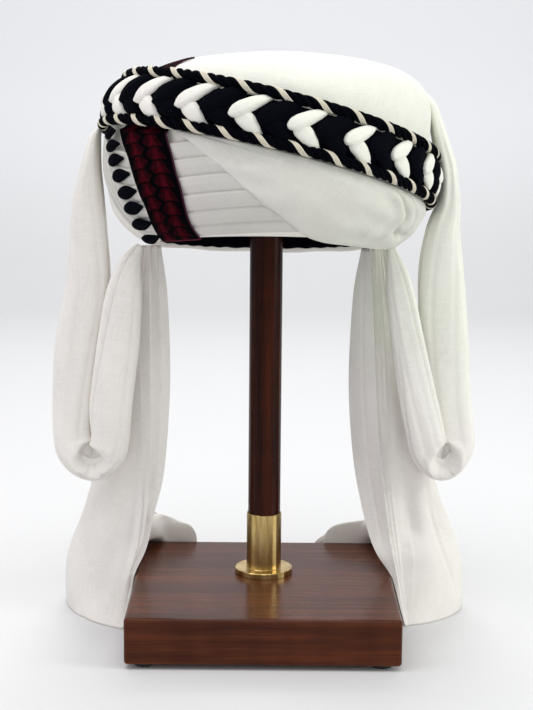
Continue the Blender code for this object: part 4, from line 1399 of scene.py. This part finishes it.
loops = {
    "left": (
        (-0.1497, 0.006, 0.4496, 0.0022, 0.014), (-0.1533, 0.005, 0.4405, 0.0046, 0.018),
        (-0.1565, 0.003, 0.418, 0.0078, 0.019), (-0.1588, 0.002, 0.39, 0.0122, 0.016),
        (-0.1595, 0.001, 0.36, 0.015, 0.013), (-0.16, 0.0, 0.31, 0.018, 0.011),
        (-0.169, -0.002, 0.26, 0.0183, 0.01), (-0.1745, -0.004, 0.205, 0.0165, 0.01),
        (-0.175, -0.006, 0.172, 0.0155, 0.01), (-0.17, -0.008, 0.158, 0.0155, 0.01),
        (-0.157, -0.01, 0.151, 0.0158, 0.01), (-0.144, -0.012, 0.158, 0.0155, 0.01),
        (-0.1395, -0.014, 0.175, 0.0155, 0.01), (-0.1385, -0.016, 0.205, 0.0172, 0.01),
        (-0.1318, -0.018, 0.26, 0.017, 0.009), (-0.1265, -0.018, 0.305, 0.0143, 0.008),
        (-0.1215, -0.014, 0.331, 0.0092, 0.007), (-0.113, -0.01, 0.3488, 0.0026, 0.004),
    ),
    "right": (
        (0.1333, 0.037, 0.4893, 0.0022, 0.009), (0.1472, 0.036, 0.4745, 0.0038, 0.014),
        (0.1525, 0.034, 0.457, 0.0052, 0.018), (0.157, 0.031, 0.44, 0.0064, 0.02),
        (0.1626, 0.029, 0.42, 0.0074, 0.02), (0.1645, 0.027, 0.402, 0.008, 0.02),
        (0.1642, 0.025, 0.383, 0.01, 0.018), (0.16, 0.021, 0.36, 0.014, 0.014),
        (0.159, 0.017, 0.325, 0.0185, 0.011), (0.162, 0.014, 0.275, 0.0195, 0.01),
        (0.169, 0.011, 0.215, 0.0175, 0.01), (0.1748, 0.008, 0.18, 0.0155, 0.01),
        (0.1748, 0.005, 0.164, 0.015, 0.01), (0.1635, 0.001, 0.151, 0.0152, 0.01),
        (0.15, -0.003, 0.162, 0.015, 0.01), (0.144, -0.006, 0.185, 0.0155, 0.01),
        (0.1373, -0.008, 0.215, 0.015, 0.01), (0.1278, -0.008, 0.265, 0.0132, 0.009),
        (0.119, -0.004, 0.315, 0.0105, 0.008), (0.112, 0.002, 0.347, 0.0034, 0.004),
    ),
    "perSpan": 12,
    "columns": 110,
    "overlap": 100.0,  # degrees by which the folded cloth laps over itself
    "lap": 0.2,  # how much smaller the lapped layer is
    "lapAt": (0.715, 0.075),
    "wall": 0.0011,
    "fuller": 1.12,
    "firm": 5.0,  # creases are full from this part of the length on
    "wave": 0.022,
    "rippled": (7, 0.09, 0.03),
    "ripplePlace": (0.045, 0.45, 0.03),
    "drifting": 7.0,
    "least": 0.0006,
    # Where the free edge lies round the strap, in degrees, along its length: 270 is the front
    "edgeAt": ((0.0, 196.0), (0.3, 206.0), (0.47, 188.0), (0.6, 196.0), (0.74, 226.0), (0.88, 246.0),
        (1.0, 262.0)),
    # Lengthwise creases: angle, drift, depth, width in degrees
    "creases": (
        (322.0, 20.0, 0.075, 9.0), (290.0, -16.0, 0.06, 7.0), (256.0, 18.0, 0.055, 8.0),
        (340.0, -14.0, 0.05, 6.0), (60.0, 30.0, 0.07, 12.0), (110.0, -25.0, 0.06, 12.0),
    ),
    "pocket": 0.8,  # how deep the pocket at the turn is
    # Angle round the strap and half the pocket's length there: a V that closes towards its foot
    "pocketShape": ((165.0, 0.006), (195.0, 0.019), (235.0, 0.0175), (270.0, 0.013), (300.0, 0.0065),
        (322.0, 0.0015)),
    "pocketSides": ((158.0, 14.0), (330.0, -10.0)),
    "pocketEdge": (1.25, -0.55),
    "pocketRim": (1.5, 0.35, 0.09),  # where the rim round it swells, how widely and how much
    "puckers": (520.0, 0.4),
    "square": 0.72,
}


def loopSections(side, inset, seed):
    # Sections of a strip folded round into a soft strap, its free edge lapping inside
    rows = smoothRows(loops[side], loops["perSpan"])
    spread = np.linspace(0.0, 1.0, loops["columns"])
    runs = np.gradient(rows[:, :3], axis=0)
    runs /= np.linalg.norm(runs, axis=1)[:, None]
    travelled = lengths(rows[:, :3])
    bottom = travelled[int(np.argmin(rows[:, 2]))]
    mirror = 1.0 if side == "left" else -1.0
    rim, rimWidth, rimSwell = loops["pocketRim"]
    often, deep = loops["puckers"]
    u, v, w = loops["ripplePlace"]
    sections = []
    for row, run, here in zip(rows, runs, travelled):
        share = here / travelled[-1]
        degrees = fromTable(share, loops["edgeAt"]) + spread * (360.0 + loops["overlap"])
        cosine, sine = np.cos(np.radians(degrees)), np.sin(np.radians(degrees))
        size = loops["fuller"] * (1.0 - loops["lap"] * rising(spread, *loops["lapAt"]))
        firm = min(1.0, loops["firm"] * share, loops["firm"] * (1.0 - share))
        for centre, drift, sunk, width in loops["creases"]:
            middle = centre + drift * math.sin(loops["drifting"] * share + seed + centre)
            size = size - firm * sunk * crease(angleApart(degrees, middle), width)
        size = size + firm * loops["wave"] * ripples(cosine * u, here * v + sine * w, seed, *loops["rippled"])
        around = degrees % 360.0
        inPocket = abs(here - bottom) / fromTable(around, loops["pocketShape"])
        angled = math.prod(rising(around, *edge) for edge in loops["pocketSides"])
        size = size * (1.0 - loops["pocket"] * angled * rising(inPocket, *loops["pocketEdge"]))
        pucker = 1.0 + deep * math.sin(here * often + seed)
        size = size + angled * rimSwell * crease(inPocket - rim, rimWidth) * pucker
        outwards = np.array((0.0, 1.0, 0.0)) - run * run[1]
        outwards /= np.linalg.norm(outwards)
        half, thick = (max(value - inset, loops["least"]) for value in row[3:])
        wide = size * half * squarer(mirror * cosine, loops["square"])
        thickness = size * thick * squarer(sine, loops["square"])
        offset = wide[:, None] * np.cross(outwards, run) + thickness[:, None] * outwards
        sections.append(np.array((0.0, wrap["postY"], 0.0)) + row[:3] + offset)
    return np.array(sections)


def makeLoop(name, node, side, seed):
    outside, inside = (loopSections(side, inset, seed) for inset in (0.0, loops["wall"]))
    piece = sheetPiece(name, outside, inside, white)
    stand(piece, node)


makeLoop("leftLoop", "left_loop", "left", seed=4)
makeLoop("rightLoop", "right_loop", "right", seed=9)
print("loops made")


# Tails

tails = {
    # Height, then four control points of the level's curve, from the free edge in front to the one behind
    "left": (
        (0.3484, (-0.095, 0.006), (-0.103, 0.006), (-0.112, 0.01), (-0.118, 0.016)),
        (0.3, (-0.0888, 0.004), (-0.105, 0.002), (-0.12, 0.008), (-0.13, 0.024)),
        (0.22, (-0.0868, 0.004), (-0.115, -0.002), (-0.138, 0.01), (-0.14, 0.04)),
        (0.14, (-0.0922, 0.004), (-0.16, -0.002), (-0.175, 0.03), (-0.13, 0.075)),
        (0.1, (-0.1014, 0.0), (-0.204, -0.003), (-0.166, 0.062), (-0.129, 0.096)),
        (0.078, (-0.1055, -0.003), (-0.224, -0.002), (-0.17, 0.088), (-0.117, 0.104)),
        (0.066, (-0.1085, -0.004), (-0.232, -0.002), (-0.177, 0.102), (-0.098, 0.109)),
        (0.058, (-0.112, -0.005), (-0.233, -0.001), (-0.185, 0.112), (-0.08, 0.111)),
        (0.0455, (-0.1192, -0.007), (-0.23, 0.0), (-0.2, 0.124), (-0.068, 0.11)),
        (0.02, (-0.1225, -0.014), (-0.216, 0.0), (-0.224, 0.132), (-0.0655, 0.111)),
        (0.0003, (-0.128, -0.033), (-0.2, 0.0), (-0.24, 0.136), (-0.064, 0.112)),
    ),
    "right": (
        (0.3484, (0.088, 0.018), (0.096, 0.014), (0.108, 0.014), (0.115, 0.02)),
        (0.3, (0.0806, 0.02), (0.097, 0.007), (0.118, 0.01), (0.129, 0.028)),
        (0.22, (0.0778, 0.023), (0.106, 0.001), (0.14, 0.01), (0.144, 0.04)),
        (0.15, (0.0827, 0.019), (0.14, -0.008), (0.178, 0.026), (0.136, 0.075)),
        (0.105, (0.0908, 0.01), (0.205, -0.006), (0.168, 0.062), (0.124, 0.098)),
        (0.078, (0.098, 0.003), (0.232, -0.005), (0.168, 0.09), (0.115, 0.106)),
        (0.064, (0.104, -0.006), (0.241, -0.005), (0.174, 0.104), (0.102, 0.109)),
        (0.056, (0.11, -0.005), (0.24, -0.004), (0.184, 0.114), (0.07, 0.111)),
        (0.0455, (0.118, -0.005), (0.236, -0.003), (0.196, 0.124), (0.05, 0.11)),
        (0.02, (0.1248, -0.01), (0.227, 0.002), (0.212, 0.132), (0.047, 0.111)),
        (0.0003, (0.1304, -0.018), (0.22, 0.008), (0.217, 0.136), (0.046, 0.112)),
    ),
    # Folds in front: kind, depth, width, then heights and x down each. A lip is the edge of an upper layer.
    "leftFolds": (
        ("lip", 0.0024, 0.0045, ((0.349, -0.0985), (0.27, -0.0957), (0.201, -0.0964), (0.155, -0.0997),
            (0.12, -0.1032), (0.1, -0.105))),
        ("lip", 0.0034, 0.008, ((0.349, -0.104), (0.27, -0.1037), (0.201, -0.1032), (0.155, -0.1042),
            (0.108, -0.1065), (0.074, -0.1115), (0.05, -0.1215), (0.0, -0.13))),
        ("lip", 0.002, 0.01, ((0.349, -0.108), (0.27, -0.113), (0.167, -0.111), (0.108, -0.1118),
            (0.071, -0.1157), (0.041, -0.1245), (0.0, -0.133))),
        ("dip", 0.0016, 0.004, ((0.349, -0.105), (0.27, -0.118), (0.167, -0.116), (0.1, -0.118),
            (0.06, -0.125), (0.0, -0.14))),
        ("dip", 0.001, 0.006, ((0.16, -0.125), (0.112, -0.128), (0.058, -0.138), (0.012, -0.146))),
        ("dip", -0.0014, 0.009, ((0.16, -0.133), (0.112, -0.14), (0.058, -0.15), (0.012, -0.157))),
    ),
    "rightFolds": (
        ("dip", 0.0005, 0.0016, ((0.349, 0.0895), (0.252, 0.0899), (0.206, 0.0914), (0.132, 0.0985),
            (0.08, 0.108))),
        ("lip", 0.0064, 0.013, ((0.349, 0.0945), (0.284, 0.0985), (0.215, 0.103), (0.146, 0.1085),
            (0.076, 0.1166), (0.04, 0.124), (0.0, 0.131))),
        ("lip", 0.0022, 0.0036, ((0.349, 0.0985), (0.284, 0.1026), (0.215, 0.107), (0.146, 0.1116),
            (0.076, 0.12), (0.04, 0.126), (0.0, 0.132))),
        ("lip", 0.0025, 0.0036, ((0.349, 0.1025), (0.284, 0.1067), (0.215, 0.111), (0.146, 0.1148),
            (0.076, 0.1238), (0.04, 0.128), (0.0, 0.133))),
        ("dip", 0.0038, 0.0075, ((0.349, 0.11), (0.3, 0.116), (0.24, 0.12), (0.195, 0.126), (0.149, 0.13),
            (0.112, 0.132), (0.085, 0.136))),
        ("lip", 0.0012, 0.005, ((0.09, 0.134), (0.079, 0.1355), (0.056, 0.1385), (0.032, 0.1385),
            (0.012, 0.1365), (0.0, 0.135))),
        ("dip", 0.0013, 0.0022, ((0.14, 0.148), (0.122, 0.1505), (0.099, 0.154), (0.071, 0.1627),
            (0.0455, 0.1725), (0.024, 0.18))),
        ("dip", -0.0016, 0.009, ((0.14, 0.14), (0.099, 0.146), (0.071, 0.152), (0.0455, 0.158),
            (0.01, 0.162))),
    ),
    # Where the far part lies on the base: share along the level, x towards its own side, y
    "leftCorner": ((0.6, 0.13, 0.052), (0.68, 0.114, 0.052), (0.78, 0.106, 0.072), (0.88, 0.094, 0.0965),
        (1.0, 0.065, 0.1)),
    "rightCorner": ((0.6, 0.13, 0.052), (0.68, 0.114, 0.052), (0.78, 0.107, 0.074), (0.88, 0.095, 0.0965),
        (1.0, 0.049, 0.1)),
    "footFolds": 0.15,  # how much of a fold is left at the floor
    "footSpan": (0.015, 0.075),
    "calm": 0.01,  # height over which levels near the base are evened out
    "calmTop": (0.13, -0.05),
    "calmFoot": 0.02,
    "restHeight": 0.0466,
    "restSpan": 0.012,
    "baseSide": 0.1195,
    "baseBack": 0.085,
    "rollStart": 0.58,  # share along the level
    "rollRings": 60,
    "rollSides": 48,
    "rollSquare": 0.85,
    "rollWave": 0.09,
    "rollRipples": (8, 0.05, 0.01),
    "rollPlace": (0.012, 0.1),
    "rollWidth": 0.95,
    "rollBlunt": 6,  # how bluntly its ends close
    "rollTip": 0.0004,
    "rollThin": (0.66, 0.34),
    "rollClear": 0.001,
    "rollNear": 0.7,
    "rollTurnSpan": 0.1,
    "rollLift": 1.03,
    "rollTurn": 0.84,  # share where the roll turns down behind the base
    "rollPush": 0.011,  # how far its end reaches past the cloth behind it
    "rollHeight": 0.034,
    "rollDrop": 0.01,  # how far its end hangs down behind the base
    "leftRoll": (0.034, 0.42),  # height, and the share of it lost towards the end
    "rightRoll": (0.033, 0.46),
    "sharp": 0.0007,  # width of the step beside a lip
    "fade": 0.012,  # how far a fold runs out above and below its line
    "levelTop": 0.3,
    "halfWall": 0.0007,
    "rows": 11,
    "columns": 290,
    "samples": 600,
    "crowding": 1.25,  # columns lie closer together towards the front edge
    "hem": 0.002,  # folds start this far behind the free edge
    "edge": 0.004,
    "swell": 0.0009,
    "frontSwell": 0.4,
    "rippled": (8, 0.07, 0.012),
    "ripplePlace": (0.8, 0.35),
    "gathers": 0.0014,
    "gatherTurns": 9.0,
    "gatherSway": (0.4, 4.0),
    "back": (0.45, 0.15),  # share along the level from which it is gathered
}


def tailLevels(side):
    # One row for each level: its height, and its four control points in one line
    return smoothRows([(row[0], *sum(row[1:], ())) for row in tails[side]], tails["rows"])


def levelPoints(row, share):
    points = row[1:].reshape(4, 2)
    weights = np.stack(((1 - share) ** 3, 3 * share * (1 - share) ** 2, 3 * share**2 * (1 - share), share**3))
    x, y = (weights[:, :, None] * points[:, None, :]).sum(axis=0).T
    lean = math.tan(wrap["lean"]) * rising(row[0], tails["levelTop"], wrap["rimHeight"] - tails["levelTop"])
    return np.stack((x, wrap["postY"] + y, row[0] - lean * y), axis=-1)


def tailRelief(height, spread, wide, folds):
    # How far each place of one level stands off it. Spread is the distance from the front edge, wide is x.
    front = int(np.argmax(np.abs(wide))) + 1
    toRight = np.sign(wide[front - 1])
    total = np.zeros(len(spread))
    for kind, depth, width, line in folds:
        at = np.interp(abs(fromTable(height, line[::-1])), np.abs(wide[:front]), spread[:front])
        outside = max(line[-1][0] - height, height - line[0][0], 0.0)
        firm = depth * smoothStep(1.0 - outside / tails["fade"]) * smoothStep(at / tails["hem"])
        firm *= between(tails["footFolds"], 1.0, rising(height, *tails["footSpan"]))
        away = spread - at
        if kind == "lip":
            under = away * toRight
            beside = smoothStep(1.0 - under / tails["sharp"])
            total += firm * np.where(under < 0.0, np.exp(under / width), beside)
        else:
            total -= firm * crease(away, width)
    return total


def calmLevels(levels):
    # Near the base each level takes after its neighbours, so that no ledge shows
    height = levels[:, 0].copy()
    weight = crease(height[:, None] - height, tails["calm"]) * np.abs(np.gradient(height))
    calm = (weight / weight.sum(axis=1, keepdims=True)) @ levels
    share = rising(height, *tails["calmTop"]) * smoothStep(height / tails["calmFoot"])
    levels = between(levels, calm, share[:, None])
    levels[:, 0] = height
    return levels


def besideBase(height, here):
    # Below the base's top the cloth hangs outside its sides
    reach = tails["baseSide"]
    beside = (np.abs(here[:, 0]) < reach) & (here[:, 1] < tails["baseBack"])
    share = beside * rising(height, tails["restHeight"], -tails["restSpan"])
    here[:, 0] += (np.sign(here[:, 0]) * reach - here[:, 0]) * share
    return here


def makeTail(name, node, side, seed):
    # A gathered sheet, tight at the rim, its folds opening towards the floor
    levels = calmLevels(tailLevels(side))
    fine = np.linspace(0.0, 1.0, tails["samples"])
    crowded = np.linspace(0.0, 1.0, tails["columns"]) ** tails["crowding"]
    (u, v), (sway, slow), quiet = tails["ripplePlace"], tails["gatherSway"], tails["frontSwell"]
    outside = []
    inside = []
    for row in levels:
        drop = levels[0, 0] - row[0]
        run = lengths(levelPoints(row, fine))
        spread = crowded * run[-1]
        share = np.interp(spread, run, fine)
        here = besideBase(row[0], levelPoints(row, share))
        along = np.gradient(here, axis=0)
        normal = np.stack((along[:, 1], -along[:, 0], 0.0 * share), axis=1) * np.sign(here[-1, 0])
        normal /= np.linalg.norm(normal, axis=1)[:, None]
        relief = tailRelief(row[0], spread, here[:, 0], tails[side + "Folds"])
        soft = tails["swell"] * ripples(spread * u, drop * v, seed, *tails["rippled"])
        back = rising(share, *tails["back"])
        turns = tails["gatherTurns"] * share + sway * np.sin(slow * share + seed)
        gathers = tails["gathers"] * np.sin(2.0 * math.pi * turns + slow * drop) * back
        edge = smoothStep(np.minimum(spread, run[-1] - spread) / tails["edge"])
        fold = relief + edge * (soft * between(quiet, 1.0, back) + gathers)
        outside.append(here + normal * (fold + tails["halfWall"])[:, None])
        inside.append(here + normal * (fold - tails["halfWall"])[:, None])
    piece = sheetPiece(name, np.array(outside), np.array(inside), white)
    stand(piece, node)


def makeRoll(name, node, side, seed):
    # The far part of a tail is rolled forward and lies on the base's back corner
    outwards = 1.0 if side == "right" else -1.0
    top, thinner = tails[side + "Roll"]
    levels = tailLevels(side)
    middle = tails["restHeight"] + 0.5 * tails["rollHeight"]
    level = levels[int(np.argmin(np.abs(levels[:, 0] - middle)))]
    start = tails["rollStart"]
    shares = np.linspace(start, 1.0, tails["rollRings"])
    far = levelPoints(level, shares)[:, :2]
    corner = np.array(tails[side + "Corner"]).T
    near = np.stack((np.interp(shares, corner[0], corner[1]) * outwards,
                     wrap["postY"] + np.interp(shares, corner[0], corner[2])), axis=1)
    push = outwards * tails["rollPush"] * rising(shares, tails["rollTurn"], 1.0 - tails["rollTurn"])
    far[:, 0] -= push
    near[:, 0] -= tails["rollNear"] * push
    turns = fullTurn(tails["rollSides"])
    cosine, sine = np.cos(turns), np.sin(turns)
    small, drift = tails["rollPlace"]
    rings = []
    for share, away, close in zip(shares, far, near):
        end = 2.0 * (share - start) / (1.0 - start) - 1.0
        full = math.sqrt(max(1.0 - end ** tails["rollBlunt"], tails["rollTip"]))
        wave = ripples(small * cosine + drift * share, small * sine, seed, *tails["rollRipples"])
        wave = 1.0 + tails["rollWave"] * wave
        wide, tall = (squarer(values, tails["rollSquare"]) * wave * full for values in (cosine, sine))
        flat = 0.5 * (away + close) + wide[:, None] * 0.5 * (close - away) * tails["rollWidth"]
        behind = tails["rollDrop"] * rising(share, tails["rollTurn"], tails["rollTurnSpan"])
        height = top * (1.0 - thinner * rising(share, *tails["rollThin"])) + behind
        foot = tails["restHeight"] + tails["rollClear"] - behind
        rings.append(np.hstack((flat, (foot + 0.5 * height * (full * tails["rollLift"] + tall))[:, None])))
    # The roll wears a copy of the muslin painted brighter, as painted light
    piece = tubePiece(name, rings[::-1] if side == "left" else rings, rollWhitePaintedLight)
    stand(piece, node)


makeTail("leftTail", "left_tail", "left", seed=3)
makeTail("rightTail", "right_tail", "right", seed=7)
makeRoll("leftRoll", "left_tail", "left", seed=11)
makeRoll("rightRoll", "right_tail", "right", seed=15)
print("tails made")
